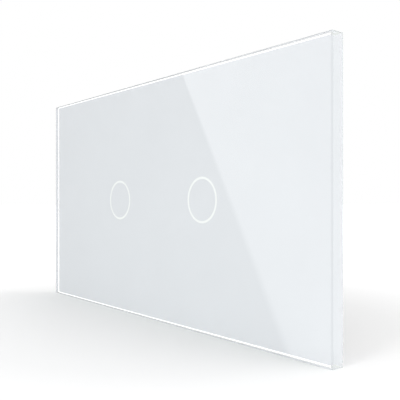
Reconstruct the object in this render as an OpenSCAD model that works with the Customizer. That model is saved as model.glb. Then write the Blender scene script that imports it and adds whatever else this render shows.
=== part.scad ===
// Two-way glass touch light switch for a two-gang wall box.
// X runs to the right and Z up. Y runs towards the wall: the wall plane is y = 0 and the glass faces -Y.

/* [Glass panel] */
// Width of the glass
panel_w = 151; // [150:1:170]
// Height of the glass
panel_h = 80; // [78:1:92]
// Thickness of the glass
glass_t = 4; // [3:0.5:6]
// Radius of the glass corners
panel_corner_r = 0.5; // [0.4:0.1:3]
// Width of the polished edge between the front and the rim of the glass
arris = 0.4; // [0.1:0.05:0.5]
// Clear margin that the print leaves at both ends of the glass
print_margin_end = 0.5; // [0.2:0.05:1]
// Clear margin that the print leaves along the top and the bottom of the glass
print_margin_top = 0.3; // [0.2:0.05:1]
// Thickness of the white print behind the glass
print_t = 0.15; // [0.1:0.05:0.3]

/* [Touch rings] */
// Distance between the two ring centres
ring_pitch = 48; // [42:1:52]
// Middle diameter of a ring
ring_d = 13.5; // [12:0.5:15]
// Width of a ring's line
ring_line = 0.7; // [0.4:0.1:1.2]

/* [Panel carrier] */
// How far the carrier stands in from the edge of the glass
carrier_inset = 7.5; // [5:0.5:7.5]
// Thickness of the carrier's web
carrier_t = 1.3; // [1:0.1:2]
// Thickness of the carrier's skirt
skirt_t = 1.5; // [1.2:0.1:1.8]
// Corner radius of the carrier
carrier_r = 4; // [3:0.5:6]
// Thickness of the bonding tape
tape_t = 0.5; // [0.3:0.1:1]
// Distance of a snap clip from the middle of the panel
clip_x = 40; // [30:1:44]
// Width of a snap clip
clip_w = 8; // [6:0.5:10]
// Thickness of the clip's spring steel
clip_t = 0.4; // [0.3:0.05:0.45]

/* [Support frame] */
// Thickness of the plate that is screwed to the wall box
frame_t = 1.6; // [1.4:0.1:2.4]
// Thickness of the rim round the plate
rim_t = 1.5; // [1.2:0.1:2]
// Height of the rim in front of the plate
rim_h = 1.8; // [1.8:0.1:3]
// Distance between the two wall screws
slot_pitch = 120.6; // [119:0.1:121]
// Width of a wall screw slot
slot_w = 4.2; // [3.6:0.1:4.6]
// Length of a wall screw slot, end to end
slot_len = 7; // [5:0.5:7.5]
// Width of the land round the plate's back that lies on the wall
land_w = 2.5; // [1.5:0.1:2.6]
// Height of that land
land_h = 0.5; // [0.3:0.1:1]

/* [Front cover] */
// Width of the cover over the touch electrodes
cover_w = 108; // [100:1:109]
// How far the cover stands in from the upper and lower edge of the carrier
cover_inset = 7.5; // [7:0.5:9.5]
// Thickness of the cover
cover_t = 1.2; // [1:0.1:1.6]

/* [Light guides and touch springs] */
// Wall of a tubular light guide
guide_wall = 1.5; // [1:0.1:2]
// Outer diameter of a touch spring
spring_d = 8.4; // [7:0.1:9]
// Diameter of the spring wire
spring_wire = 0.6; // [0.4:0.05:0.65]
// Turns of a touch spring
spring_turns = 5; // [3:1:5]

/* [Rear housing] */
// Width of the housing
housing_w = 88; // [86:1:92]
// Height of the housing
housing_h = 48; // [47:1:52]
// Depth of the housing behind the wall plane
housing_depth = 26; // [26:0.5:32]
// Wall of the housing
housing_wall = 1.6; // [1.2:0.1:2]
// Edge bevel round the back of the housing
housing_bevel = 1.5; // [0.5:0.1:2]
// Shank diameter of a housing screw
housing_screw_d = 2.5; // [2:0.1:3]

/* [Circuit boards] */
// Thickness of both circuit boards
board_t = 1.6; // [1:0.1:2]
// Gap between the plate and the sensor board
sensor_post_h = 2.4; // [2.2:0.1:3.2]
// Gap between the power board and the back wall
power_post_h = 1.4; // [1.2:0.1:2]
// Pins in the connector between the boards
header_pins_n = 8; // [4:1:10]

/* [Terminals] */
// Distance between two terminals
terminal_pitch = 9; // [8.6:0.1:10]
// Diameter of a wire entry
wire_d = 3.8; // [3:0.1:4.2]
// Diameter of a terminal screw
terminal_screw_d = 3; // [2.5:0.1:3.5]
// Travel of a clamping cage
cage_travel = 3; // [2:0.1:3.2]

/* [Relays] */
// Distance of a relay from the middle of the board
relay_x = 24.5; // [22:0.5:25]
// Length of a relay
relay_l = 19; // [18.5:0.1:19.5]
// Width of a relay
relay_w = 15.4; // [15:0.1:16]
// Height of a relay above its board
relay_h = 15.3; // [15:0.1:16]

/* [Hidden] */
$fn = 48;
eps = 0.01;
past = 1;             // how far a cut runs past a free face
least_r = 0.4;        // of a round corner inside a ring

// Clearances
fit_gap = 0.3;        // between the lifting panel and what it fits over
panel_gap = 0.4;      // between the carrier's web and the rim it closes
small_gap = 0.2;      // between two fixed pieces that only locate each other
thread_gap = 0.05;    // round a screw's shank in its hole

// Layers from the wall plane forwards. The plate's back is y_seat, and its land reaches the wall.
y_seat = -land_h;
y_plate = y_seat - frame_t;
y_rim = y_plate - rim_h;
y_web_back = y_rim - panel_gap;
y_web = y_web_back - carrier_t;
y_tape = y_web - tape_t;
y_print = y_tape - print_t;
y_glass = y_print - glass_t;
y_cover = y_tape + fit_gap;
y_cover_back = y_cover + cover_t;

// Layers from the plate's back backwards
y_sensor = y_seat + sensor_post_h;
y_sensor_back = y_sensor + board_t;
y_back = y_seat + housing_depth;
y_floor = y_back - housing_wall;
y_power_back = y_floor - power_post_h;
y_power = y_power_back - board_t;

// Carrier, tape and support frame
carrier_w = panel_w - 2 * carrier_inset;
carrier_h = panel_h - 2 * carrier_inset;
cover_h = carrier_h - 2 * cover_inset;
opening_gap = 1;
opening_w = cover_w + 2 * opening_gap;
opening_h = cover_h + 2 * opening_gap;
tape_margin = 0.8;
lip_t = 1.2;          // lip that stiffens the carrier round its opening
lip_h = 1.4;
skirt_lift = 0.5;     // the skirt stops this far from the wall
frame_w = carrier_w - 2 * skirt_t - 2 * fit_gap;
frame_h = carrier_h - 2 * skirt_t - 2 * fit_gap;
frame_r = carrier_r - skirt_t;
pry_w = 6;
pry_depth = 1.6;
pry_x = 22;

// Snap clips
clip_bulge = 1;
clip_foot = 0.8;
clip_slack = 0.1;
clip_recess = fit_gap + clip_bulge + clip_t / 2 + clip_slack;
clip_side_gap = 0.5;
clip_peak_lift = 0.3;
clip_tail_drop = 0.7;
ridge_h = 0.7;
ridge_t = 0.7;
y_clip_peak = y_plate - clip_peak_lift;
y_clip_tail = y_plate + clip_tail_drop;

// Front cover
cover_r = 3;
peg_r = 1.5;
peg_inset = 5;
peg_x = cover_w / 2 - peg_inset;
peg_z = cover_h / 2 - peg_inset;
peg_short = 0.3;

// Light guides
guide_or = (ring_d + guide_wall) / 2;
guide_ir = (ring_d - guide_wall) / 2;
guide_flange = 1.5;
guide_flange_t = 1;
collar_t = 1.5;
led_h = 0.6;
led_l = 2;
led_w = 1.25;
leds_per_ring = 4;
y_guide_back = y_sensor - led_h - fit_gap;

// Rear housing
housing_r = 4;
inner_w = housing_w - 2 * housing_wall;
inner_h = housing_h - 2 * housing_wall;
inner_r = housing_r - housing_wall;
boss_r = 3;
boss_inset = 3.8;
web_t = 1.6;          // webs that tie the bosses to the walls
boss_x = inner_w / 2 - boss_inset;
boss_z = inner_h / 2 - boss_inset;
screw_len = 12;
screw_head_r = 0.9 * housing_screw_d;
screw_head_h = 1.2;
cross_l = 1.4 * screw_head_r;
cross_w = 0.6;
cross_h = 0.7;
rib_t = 1.6;
rib_l = 5;
rib_z = 8;
vent_n = 7;
vent_w = 1.5;
vent_l = 9;
vent_pitch = 4;
vent_drop = 2;
low_vent_n = 3;       // vents on each side of the terminals
low_vent_x = 23;
recess_depth = 0.35;  // of the shallow fields and grooves outside
field_size = [46, 16];
field_z = 8;
field_r = 1;
mark_h = 3.4;         // strip for the terminals' marks
mark_lift = 0.6;
gauge_size = [1.8, 9];
gauge_r = 0.7;
gauge_x = 22;
gauge_z = -14;
seam_w = 0.5;
seam_from_seat = 9;

// Boards
edge_gap = 0.4;
sensor_w = inner_w - 2 * edge_gap;
sensor_h = inner_h - 2 * edge_gap;
sensor_post_r = 1.8;
post_from_boss = [3.6, 4.6];
sensor_post_x = boss_x - post_from_boss[0];
sensor_post_z = boss_z - post_from_boss[1];
power_w = inner_w - 2 * rib_t - 2 * edge_gap;
power_top = inner_h / 2 - edge_gap;
terminal_rise = 10.9; // from the housing's lower wall to the top of the terminal block
terminal_top = -inner_h / 2 + terminal_rise;
power_gap = 1.1;      // between the terminal block and the power board
power_bottom = terminal_top + power_gap;
power_post_r = 1.6;
power_peg_r = 0.9;
power_peg_h = 0.6;
power_post_inset = 2.9;
power_post_x = power_w / 2 - power_post_inset;
power_post_low = 4.4;
power_post_pitch = 12;
power_posts_z = [power_bottom + power_post_low, power_bottom + power_post_low + power_post_pitch];
hole_gap = 0.15;

// Connector between the boards
pin_pitch = 2.54;
pin_r = 0.35;
pin_proud = 0.8;
strip_w = 2.5;
strip_t = 2.5;
socket_t = 8.5;
y_socket = y_power - socket_t;
pin_depth = 5;
header_inset = 2;
header_z = power_top - header_inset;
header_w = header_pins_n * pin_pitch;

// Terminals
terminal_n = 3;
cage_w = 7;
cage_wall = 1;
cage_h = 7;
cage_nut = 1.4;
cage_gap = 0.25;
block_wall = 1.2;
bar_t = 1;
bar_w = 4.4;
terminal_up = 7;      // from the underside of the housing to the terminal screws
terminal_z = -housing_h / 2 + terminal_up;
block_bottom = -housing_h / 2;
head_r = 2.5;
head_h = 2;
head_sink = 1.2;      // from the screw head to the housing's floor
y_head = y_floor - head_sink - head_h;
y_shoulder = y_head - block_wall;
cage_slack = 0.8;     // what is left of the cage's way at both ends together
y_bar_back = y_shoulder - cage_travel - cage_nut - cage_slack;
y_bar = y_bar_back - bar_t;
y_cage_in = y_bar - wire_d;
y_cage = y_cage_in - cage_wall;
y_nut = y_bar_back + cage_slack / 2;
y_block = y_cage - block_wall - small_gap;
block_side = 1.5;
block_w = terminal_n * terminal_pitch + 2 * block_side;
tail_w = 2.4;
tail_proud = 0.6;
tail_inset = 1.4;
tail_z = power_bottom + tail_inset;
access_r = head_r + small_gap;

// Relays, with heights measured from the power board
relay_inset = 2.3;
relay_z = power_top - relay_inset - relay_w / 2;
relay_wall = 0.8;
relay_r = 1;
relay_inner_r = 0.6;
relay_base_t = 2;
hinge_u = 5.9;
hinge_r = 0.45;
bead_sink = 0.2;      // how far the armature's plate is let into its hinge bead
yoke_t = 1;
yoke_w = 10;
yoke_top = 12;
coil_u = 0.8;
coil_r = 4.4;
winding_r = 3.9;
flange_t = 0.9;
core_r = 1.8;
pole_r = 2.6;
pole_gap = 0.5;
armature_t = 1;
armature_w = 8;
arm_u = -7.2;
arm_l = 3;            // the armature is narrow over this stretch
contact_u = -6;
stem_u = -7;          // the fixed contact's stem
yoke_pin = 3;
coil_pin = 6;
coil_pin_u = -0.2;
contact_r = 1.1;
contact_t = 0.7;
contact_gap = 0.75;
strip_metal = 0.5;
pin_wire = 0.4;
pin_through = 0.7;
armature_low = yoke_top + 2 * hinge_r - bead_sink;
pole_top = armature_low - pole_gap;
contact_top = armature_low - contact_t - contact_gap;

// Extrusions along the three axes. The child's plane is (y, z), (x, z) or (x, y).
module along_x(x0, x1) { translate([x0, 0, 0]) rotate([90, 0, 90]) linear_extrude(x1 - x0) children(); }
module along_y(y0, y1) { translate([0, y1, 0]) rotate([90, 0, 0]) linear_extrude(y1 - y0) children(); }
module along_z(z0, z1) { translate([0, 0, z0]) linear_extrude(z1 - z0) children(); }

// A rectangle with round corners
module rounded(w, h, r) {
    square([w - 2 * r, h], center = true);
    square([w, h - 2 * r], center = true);
    for (sx = [-1, 1], sz = [-1, 1])
        translate([sx * (w / 2 - r), sz * (h / 2 - r)]) circle(r);
}

// A flat ring between two rounded rectangles that leave the same wall
module band(w, h, r, wall) {
    difference() {
        rounded(w, h, r);
        rounded(w - 2 * wall, h - 2 * wall, max(r - wall, least_r));
    }
}

module box(x0, x1, y0, y1, z0, z1) { translate([x0, y0, z0]) cube([x1 - x0, y1 - y0, z1 - z0]); }
module rod(x, z, r, y0, y1) { along_y(y0, y1) translate([x, z]) circle(r); }

// A rectangle's outline with its corners cut by f at the low end of y and by b at the high end
function bevelled(half, y0, y1, f, b) = [
    [-half, y0 + f], [-half + f, y0], [half - f, y0], [half, y0 + f],
    [half, y1 - b], [half - b, y1], [-half + b, y1], [-half, y1 - b]
];
function swapped(points) = [for (p = points) [p[1], p[0]]];

// A slab whose edges are bevelled at its front and its back
module bevelled_slab(w, h, r, y0, y1, f, b) {
    intersection() {
        along_y(y0, y1) rounded(w, h, r);
        along_z(-h / 2, h / 2) polygon(bevelled(w / 2, y0, y1, f, b));
        along_x(-w / 2, w / 2) polygon(swapped(bevelled(h / 2, y0, y1, f, b)));
    }
}

// Copies at the four corners, each mirrored from the one at +X and +Z
module four() {
    for (sx = [0, 1], sz = [0, 1]) mirror([sx, 0, 0]) mirror([0, 0, sz]) children();
}

// Glass panel
module glass_plate() {
    color("aliceblue", 0.4)
        bevelled_slab(panel_w, panel_h, panel_corner_r, y_glass, y_print, arris, 0);
}

module ring_places() { for (s = [-1, 1]) translate([s * ring_pitch / 2, 0]) children(); }

module back_print() {
    color("whitesmoke") {
        along_y(y_print, y_tape) difference() {
            rounded(panel_w - 2 * print_margin_end, panel_h - 2 * print_margin_top, panel_corner_r);
            ring_places() circle((ring_d + ring_line) / 2);
        }
        along_y(y_print, y_tape) ring_places() circle((ring_d - ring_line) / 2);
    }
}

module ring_windows() {
    color("white") along_y(y_print, y_tape) ring_places() difference() {
        circle((ring_d + ring_line) / 2);
        circle((ring_d - ring_line) / 2);
    }
}

module panel_tape() {
    color("gainsboro") along_y(y_tape, y_web) difference() {
        rounded(carrier_w - 2 * tape_margin, carrier_h - 2 * tape_margin, carrier_r);
        rounded(opening_w + 2 * tape_margin, opening_h + 2 * tape_margin, cover_r);
    }
}

module clip_frame() {
    color("white") difference() {
        union() {
            along_y(y_web, y_web_back) difference() {
                rounded(carrier_w, carrier_h, carrier_r);
                rounded(opening_w, opening_h, cover_r);
            }
            along_y(y_web_back - eps, -skirt_lift) band(carrier_w, carrier_h, carrier_r, skirt_t);
            along_y(y_web_back - eps, y_web_back + lip_h) difference() {
                rounded(opening_w + 2 * lip_t, opening_h + 2 * lip_t, cover_r + lip_t);
                rounded(opening_w, opening_h, cover_r);
            }
        }
        for (s = [-1, 1])
            box(s * pry_x - pry_w / 2, s * pry_x + pry_w / 2, -skirt_lift - pry_depth, 0,
                -carrier_h / 2 - past, -carrier_h / 2 + skirt_t + past);
    }
}

// One straight stretch of the clip's strip, round at both ends, from p to q in the (y, z) plane
module strip_part(p, q) {
    d = q - p;
    translate(p) rotate(atan2(d[1], d[0])) {
        translate([0, -clip_t / 2]) square([norm(d), clip_t]);
        circle(clip_t / 2);
        translate([norm(d), 0]) circle(clip_t / 2);
    }
}

// Bent spring-steel clips inside the skirt, which snap behind the ridges on the support frame's rim
module snap_clips() {
    z_foot = carrier_h / 2 - skirt_t - clip_t / 2;
    foot = [y_web_back + clip_t / 2, z_foot];
    bend = [y_web_back + clip_foot, z_foot];
    peak = [y_clip_peak, z_foot - clip_bulge];
    tail = [y_clip_tail, z_foot];
    color("silver") four() along_x(clip_x - clip_w / 2, clip_x + clip_w / 2) {
        strip_part(foot, bend);
        strip_part(bend, peak);
        strip_part(peak, tail);
    }
}

// Support frame
module support_frame() {
    pocket = clip_w / 2 + clip_side_gap;
    z_recess = frame_h / 2 - clip_recess;
    y_ridge = y_clip_peak - clip_bulge - clip_t / 2;
    color("white") difference() {
        union() {
            difference() {
                union() {
                    along_y(y_plate, y_seat) rounded(frame_w, frame_h, frame_r);
                    along_y(y_seat - eps, 0) band(frame_w, frame_h, frame_r, land_w);
                    along_y(y_rim, y_plate + eps) band(frame_w, frame_h, frame_r, rim_t);
                    four() box(clip_x - pocket - rim_t, clip_x + pocket + rim_t, y_rim, y_plate + eps,
                               z_recess - rim_t, frame_h / 2 - rim_t / 2);
                }
                four() box(clip_x - pocket, clip_x + pocket, y_rim - past, past,
                           z_recess, frame_h / 2 + past);
            }
            // Ridges that hold the snap clips
            four() box(clip_x - pocket, clip_x + pocket, y_rim, min(y_rim + ridge_t, y_ridge),
                       z_recess - eps, z_recess + ridge_h);
            // Collars that carry the light guides
            along_y(y_cover_back + guide_flange_t, y_plate + eps) ring_places() circle(guide_or + collar_t);
            // Posts that carry the sensor board
            four() rod(sensor_post_x, sensor_post_z, sensor_post_r, y_seat - eps, y_sensor);
        }
        along_y(y_cover_back, y_seat + eps) ring_places() circle(guide_or + small_gap);
        for (s = [-1, 1]) screw_slot(s * slot_pitch / 2);
        four() {
            rod(boss_x, boss_z, housing_screw_d / 2 + small_gap, y_plate - eps, y_seat + eps);
            translate([boss_x, y_plate, boss_z]) rotate([-90, 0, 0])
                cylinder(r1 = screw_head_r + small_gap, r2 = housing_screw_d / 2 + small_gap,
                         h = screw_head_h);
            rod(peg_x, peg_z, peg_r + small_gap / 2, y_plate - eps, y_seat + eps);
        }
    }
}

// A slot through the plate that runs along X
module screw_slot(x) {
    half = (slot_len - slot_w) / 2;
    along_y(y_plate - eps, y_seat + eps) {
        translate([x - half, -slot_w / 2]) square([2 * half, slot_w]);
        for (s = [-1, 1]) translate([x + s * half, 0]) circle(slot_w / 2);
    }
}

module front_cover() {
    color("dimgray") difference() {
        union() {
            along_y(y_cover, y_cover_back) rounded(cover_w, cover_h, cover_r);
            along_y(y_cover_back - eps, y_plate) band(cover_w, cover_h, cover_r, cover_t);
            four() rod(peg_x, peg_z, peg_r, y_cover_back - eps, y_seat - peg_short);
        }
        along_y(y_cover - eps, y_cover_back + eps) ring_places() circle(guide_or + small_gap / 2);
    }
}

// Tubular light guides and touch springs
module light_guide(side) {
    color("white", 0.6) translate([side * ring_pitch / 2, 0, 0]) difference() {
        union() {
            rod(0, 0, guide_or, y_cover, y_guide_back);
            rod(0, 0, guide_or + guide_flange, y_cover_back, y_cover_back + guide_flange_t);
        }
        rod(0, 0, guide_ir, y_cover - eps, y_guide_back + eps);
    }
}

rings_per_turn = 8;
wire_sides = 6;
spring_r = (spring_d - spring_wire) / 2;
spring_leg = 1.5 * spring_wire;
spring_rings = spring_turns * rings_per_turn;
spring_rise = (y_sensor - spring_leg) - (y_cover + spring_leg);

// Centre line of a touch spring: a leg, the turns, and the tip, each point with the angle of its radius
function spring_angle(i) = 360 * i / rings_per_turn;
function spring_point(i) = [
    spring_r * cos(spring_angle(i)),
    y_sensor - spring_leg - spring_rise * i / spring_rings,
    spring_r * sin(spring_angle(i))
];
spring_path = concat(
    [spring_point(0) + [0, spring_leg, 0]],
    [for (i = [0 : spring_rings]) spring_point(i)],
    [spring_point(spring_rings) - [0, spring_leg, 0]]
);
spring_angles = concat([0], [for (i = [0 : spring_rings]) spring_angle(i)], [spring_angle(spring_rings)]);
spring_gap = min([
    for (i = [0 : len(spring_path) - 1], j = [i + rings_per_turn - 2 : len(spring_path) - 1])
        if (j > i + rings_per_turn - 3) norm(spring_path[i] - spring_path[j])
]) - spring_wire;
echo(str("least gap of a touch spring to itself: ", spring_gap, " mm"));

function unit(v) = v / norm(v);
function tangent(path, i) = unit(
    (i < len(path) - 1 ? unit(path[i + 1] - path[i]) : [0, 0, 0])
    + (i > 0 ? unit(path[i] - path[i - 1]) : [0, 0, 0])
);

module touch_spring(side) {
    n = len(spring_path);
    points = [
        for (i = [0 : n - 1])
            let (radial = [cos(spring_angles[i]), 0, sin(spring_angles[i])],
                 across = cross(tangent(spring_path, i), radial))
                for (k = [0 : wire_sides - 1])
                    let (a = 360 * k / wire_sides)
                        spring_path[i] + spring_wire / 2 * (cos(a) * radial + sin(a) * across)
    ];
    walls = [
        for (i = [0 : n - 2], k = [0 : wire_sides - 1])
            let (a = i * wire_sides + k, b = i * wire_sides + (k + 1) % wire_sides)
                each [[a, a + wire_sides, b], [b, a + wire_sides, b + wire_sides]]
    ];
    ends = [
        for (k = [1 : wire_sides - 2])
            let (last = (n - 1) * wire_sides)
                each [[0, k, k + 1], [last, last + k + 1, last + k]]
    ];
    color("silver") translate([side * ring_pitch / 2, 0, 0])
        polyhedron(points = points, faces = concat(walls, ends), convexity = 10);
}

// Sensor board and what is soldered to it
function header_x(i) = (i - (header_pins_n - 1) / 2) * pin_pitch;

// What a board leaves free round a housing boss and its webs, in the corner at +X and +Z
module boss_notch() {
    clear = web_t / 2 + edge_gap;
    translate([boss_x, boss_z]) circle(boss_r + edge_gap);
    translate([boss_x - clear, boss_z - clear]) square(boss_inset + clear);
}

module sensor_board() {
    color("darkgreen") along_y(y_sensor, y_sensor_back) difference() {
        rounded(sensor_w, sensor_h, inner_r);
        for (sx = [0, 1], sz = [0, 1]) mirror([sx, 0]) mirror([0, sz]) boss_notch();
        for (i = [0 : header_pins_n - 1]) translate([header_x(i), header_z]) circle(pin_r + hole_gap);
    }
}

module status_leds() {
    color("lightyellow") for (s = [-1, 1], k = [0 : leds_per_ring - 1])
        translate([s * ring_pitch / 2, 0, 0]) rotate([0, 360 / leds_per_ring * (k + 0.5), 0])
            box(ring_d / 2 - led_w / 2, ring_d / 2 + led_w / 2, y_sensor - led_h, y_sensor,
                -led_l / 2, led_l / 2);
}

// A moulded chip with gull-wing leads along its two long sides, standing on the plane y = 0
chip_lead_t = 0.2;
chip_lead_w = 0.45;
chip_knee = 0.6;
chip_reach = 1.1;
module chip(size, leads) {
    pitch = size[0] / leads;
    half = size[1] / 2;
    h = size[2];
    box(-size[0] / 2, size[0] / 2, -h, -chip_lead_t / 2, -half, half);
    for (i = [0 : leads - 1], s = [-1, 1])
        translate([(i - (leads - 1) / 2) * pitch, 0, s * half]) mirror([0, 0, s < 0 ? 1 : 0]) {
            box(-chip_lead_w / 2, chip_lead_w / 2, -h / 2, -h / 2 + chip_lead_t, -chip_lead_t, chip_knee);
            box(-chip_lead_w / 2, chip_lead_w / 2, -h / 2, 0, chip_knee - chip_lead_t, chip_knee);
            box(-chip_lead_w / 2, chip_lead_w / 2, -chip_lead_t, 0, chip_knee - chip_lead_t, chip_reach);
        }
}

touch_chip = [9.9, 3.9, 1.4];
touch_chip_leads = 8;
touch_chip_z = 4;
driver_chip = [4.9, 3.9, 1.4];
driver_chip_leads = 4;
driver_chip_place = [5, -7];
module touch_chips() {
    color([0.12, 0.12, 0.13]) {
        translate([0, y_sensor, touch_chip_z]) chip(touch_chip, touch_chip_leads);
        for (s = [-1, 1])
            translate([s * driver_chip_place[0], y_sensor, driver_chip_place[1]])
                chip(driver_chip, driver_chip_leads);
    }
}

passive_size = [1.6, 0.5, 0.8];
passive_pitch = 4;
passives_per_row = 5;
passive_rows = [-2, 11];
function passive_x(i) = (i - (passives_per_row - 1) / 2) * passive_pitch;
module sensor_passives() {
    color("tan") for (i = [0 : passives_per_row - 1], z = passive_rows)
        translate([passive_x(i) - passive_size[0] / 2, y_sensor - passive_size[1], z - passive_size[2] / 2])
            cube(passive_size);
}

module board_header() {
    color([0.1, 0.1, 0.1]) difference() {
        box(-header_w / 2, header_w / 2, y_sensor_back, y_sensor_back + strip_t,
            header_z - strip_w / 2, header_z + strip_w / 2);
        for (i = [0 : header_pins_n - 1])
            rod(header_x(i), header_z, pin_r + thread_gap,
                y_sensor_back - eps, y_sensor_back + strip_t + eps);
    }
}

module header_pins() {
    color("gold") for (i = [0 : header_pins_n - 1])
        rod(header_x(i), header_z, pin_r, y_sensor - pin_proud, y_socket + pin_depth);
}

module board_socket() {
    color([0.1, 0.1, 0.1]) difference() {
        box(-header_w / 2, header_w / 2, y_socket, y_power, header_z - strip_w / 2, header_z + strip_w / 2);
        for (i = [0 : header_pins_n - 1])
            rod(header_x(i), header_z, pin_r + thread_gap, y_socket - eps, y_socket + pin_depth);
    }
}

// Transformer
core_size = [13, 12, 6];
core_leg = 2.6;
core_lift = 2.4;
core_window = (core_size[0] - 3 * core_leg) / 2;
bobbin_wall = 0.8;
bobbin_edge = 2.6;
bobbin_foot = 3.4;
winding_t = 2;
bobbin_deep = core_size[2] / 2 + small_gap / 2;
foot_reach = bobbin_deep + bobbin_foot;
transformer_gap = 1.25;
transformer_place = [0, header_z - strip_w / 2 - transformer_gap - foot_reach];
transformer_pins = [[-3.8, -5], [3.8, -5], [-3.8, 5], [3.8, 5]];

// Power board. Parts with wire leads give the places of their holes.
relay_pins = [
    [hinge_u, yoke_pin], [hinge_u, -yoke_pin], [stem_u, 0], [coil_pin_u, coil_pin], [coil_pin_u, -coil_pin]
];
row_inset = 5.2;
row_z = power_bottom + row_inset;
film_place = [-26, row_z];
film_pins = [[-7.5, 0], [7.5, 0]];
can_places = [[20.5, row_z], [30.5, row_z]];
can_pins = [[-1.75, 0], [1.75, 0]];
fuse_place = [-9, row_z + 2.2];
fuse_pins = [[-2.5, 0], [2.5, 0]];
varistor_place = [6, row_z + 1.2];
varistor_pins = [[-2.5, 0], [2.5, 0]];
rectifier_from_core = [9.5, -5.5];
rectifier_place = transformer_place + rectifier_from_core;

function moved(points, place) = [for (p = points) p + place];
board_holes = concat(
    moved(relay_pins, [-relay_x, relay_z]), moved(relay_pins, [relay_x, relay_z]),
    moved(film_pins, film_place), moved(can_pins, can_places[0]), moved(can_pins, can_places[1]),
    moved(fuse_pins, fuse_place), moved(varistor_pins, varistor_place),
    moved(transformer_pins, transformer_place)
);
function terminal_x(i) = (i - (terminal_n + 1) / 2) * terminal_pitch;

module power_board() {
    color("darkgreen") along_y(y_power, y_power_back) difference() {
        translate([-power_w / 2, power_bottom]) square([power_w, power_top - power_bottom]);
        for (sx = [0, 1]) mirror([sx, 0]) {
            boss_notch();
            for (z = power_posts_z) translate([power_post_x, z]) circle(power_peg_r + hole_gap);
        }
        for (p = board_holes) translate(p) circle(pin_wire + hole_gap);
        for (i = [1 : terminal_n]) translate([terminal_x(i), tail_z])
            square([tail_w + 2 * small_gap, bar_t + 2 * small_gap], center = true);
    }
}

// Wire leads from height h down through the board
module leads(places, h) {
    for (p = places) rod(p[0], p[1], pin_wire, y_power - h, y_power_back + pin_through);
}

film_size = [18, 14, 8.5];
film_r = 0.8;
lead_in = 1;
module filter_capacitor() {
    color("goldenrod") {
        along_y(y_power - film_size[1], y_power) translate(film_place)
            rounded(film_size[0], film_size[2], film_r);
        leads(moved(film_pins, film_place), lead_in);
    }
}

can_r = 4;
can_h = 12.5;
can_edge = 0.6;
can_foot = 0.4;
can_groove = 0.35;
can_groove_h = 1.6;
module smoothing_capacitors() {
    color([0.15, 0.17, 0.25]) for (c = can_places) {
        translate([c[0], y_power, c[1]]) rotate([90, 0, 0]) rotate_extrude() polygon([
            [0, 0], [can_r - can_foot, 0], [can_r, can_foot], [can_r, can_groove_h - can_groove],
            [can_r - can_groove, can_groove_h], [can_r, can_groove_h + can_groove],
            [can_r, can_h - can_edge], [can_r - can_edge, can_h], [0, can_h]
        ]);
        leads(moved(can_pins, c), lead_in);
    }
}

fuse_size = [8.5, 8, 4];
fuse_r = 0.6;
module fuse() {
    color("saddlebrown") {
        along_y(y_power - fuse_size[1], y_power) translate(fuse_place)
            rounded(fuse_size[0], fuse_size[2], fuse_r);
        leads(moved(fuse_pins, fuse_place), lead_in);
    }
}

varistor_r = 4.5;
varistor_t = 4;
varistor_lift = 1.5;
varistor_edge = 0.8;
varistor_grip = 2;
module varistor() {
    h = varistor_lift + varistor_r;
    half = varistor_t / 2;
    flat_r = varistor_r - varistor_edge;
    color("steelblue") {
        translate([varistor_place[0], y_power - h, varistor_place[1]]) rotate_extrude() polygon([
            [0, -half], [flat_r, -half], [varistor_r, varistor_edge - half],
            [varistor_r, half - varistor_edge], [flat_r, half], [0, half]
        ]);
        leads(moved(varistor_pins, varistor_place), h - varistor_grip);
    }
}

module transformer_core() {
    c = transformer_place;
    y1 = y_power - core_lift;
    y0 = y1 - core_size[1];
    color([0.22, 0.21, 0.22]) difference() {
        box(c[0] - core_size[0] / 2, c[0] + core_size[0] / 2, y0, y1,
            c[1] - core_size[2] / 2, c[1] + core_size[2] / 2);
        for (s = [-1, 1]) {
            x = c[0] + s * (core_leg + core_window) / 2;
            box(x - core_window / 2, x + core_window / 2, y0 + core_leg, y1 - core_leg,
                c[1] - core_size[2], c[1] + core_size[2]);
        }
    }
}

module transformer_winding() {
    c = transformer_place;
    y1 = y_power - core_lift - core_leg - small_gap / 2;
    y0 = y1 - core_size[1] + 2 * core_leg + small_gap;
    reach = core_leg / 2 + core_window - small_gap / 2;
    wound = reach - bobbin_wall / 2;
    hole = core_leg / 2 + small_gap / 2;
    color("khaki") {
        difference() {
            union() {
                box(c[0] - wound, c[0] + wound, y0 + bobbin_wall, y1 - bobbin_wall,
                    c[1] - bobbin_deep - winding_t, c[1] + bobbin_deep + winding_t);
                for (y = [y0, y1 - bobbin_wall])
                    box(c[0] - reach, c[0] + reach, y, y + bobbin_wall,
                        c[1] - bobbin_deep - bobbin_edge, c[1] + bobbin_deep + bobbin_edge);
                for (s = [0, 1]) translate([0, 0, c[1]]) mirror([0, 0, s])
                    box(c[0] - core_size[0] / 2, c[0] + core_size[0] / 2, y1 - bobbin_wall, y_power,
                        bobbin_deep, foot_reach);
            }
            box(c[0] - hole, c[0] + hole, y0 - past, y1 + past, c[1] - bobbin_deep, c[1] + bobbin_deep);
        }
        leads(moved(transformer_pins, transformer_place), lead_in);
    }
}

rectifier_size = [4.7, 3.9, 1.6];
rectifier_leads = 2;
module rectifier() {
    color([0.12, 0.12, 0.13]) translate([rectifier_place[0], y_power, rectifier_place[1]])
        chip(rectifier_size, rectifier_leads);
}

// Relays. side is -1 on the left and 1 on the right, and heights run from the board towards -Y.
module at_relay(side) { translate([side * relay_x, y_power, relay_z]) children(); }

module relay_base(side) {
    l = relay_l - 2 * relay_wall - small_gap;
    w = relay_w - 2 * relay_wall - small_gap;
    color([0.13, 0.13, 0.15]) at_relay(side) difference() {
        along_y(-relay_base_t, 0) rounded(l, w, relay_inner_r);
        for (p = relay_pins) rod(p[0], p[1], pin_wire + thread_gap, -relay_base_t - eps, eps);
    }
}

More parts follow.
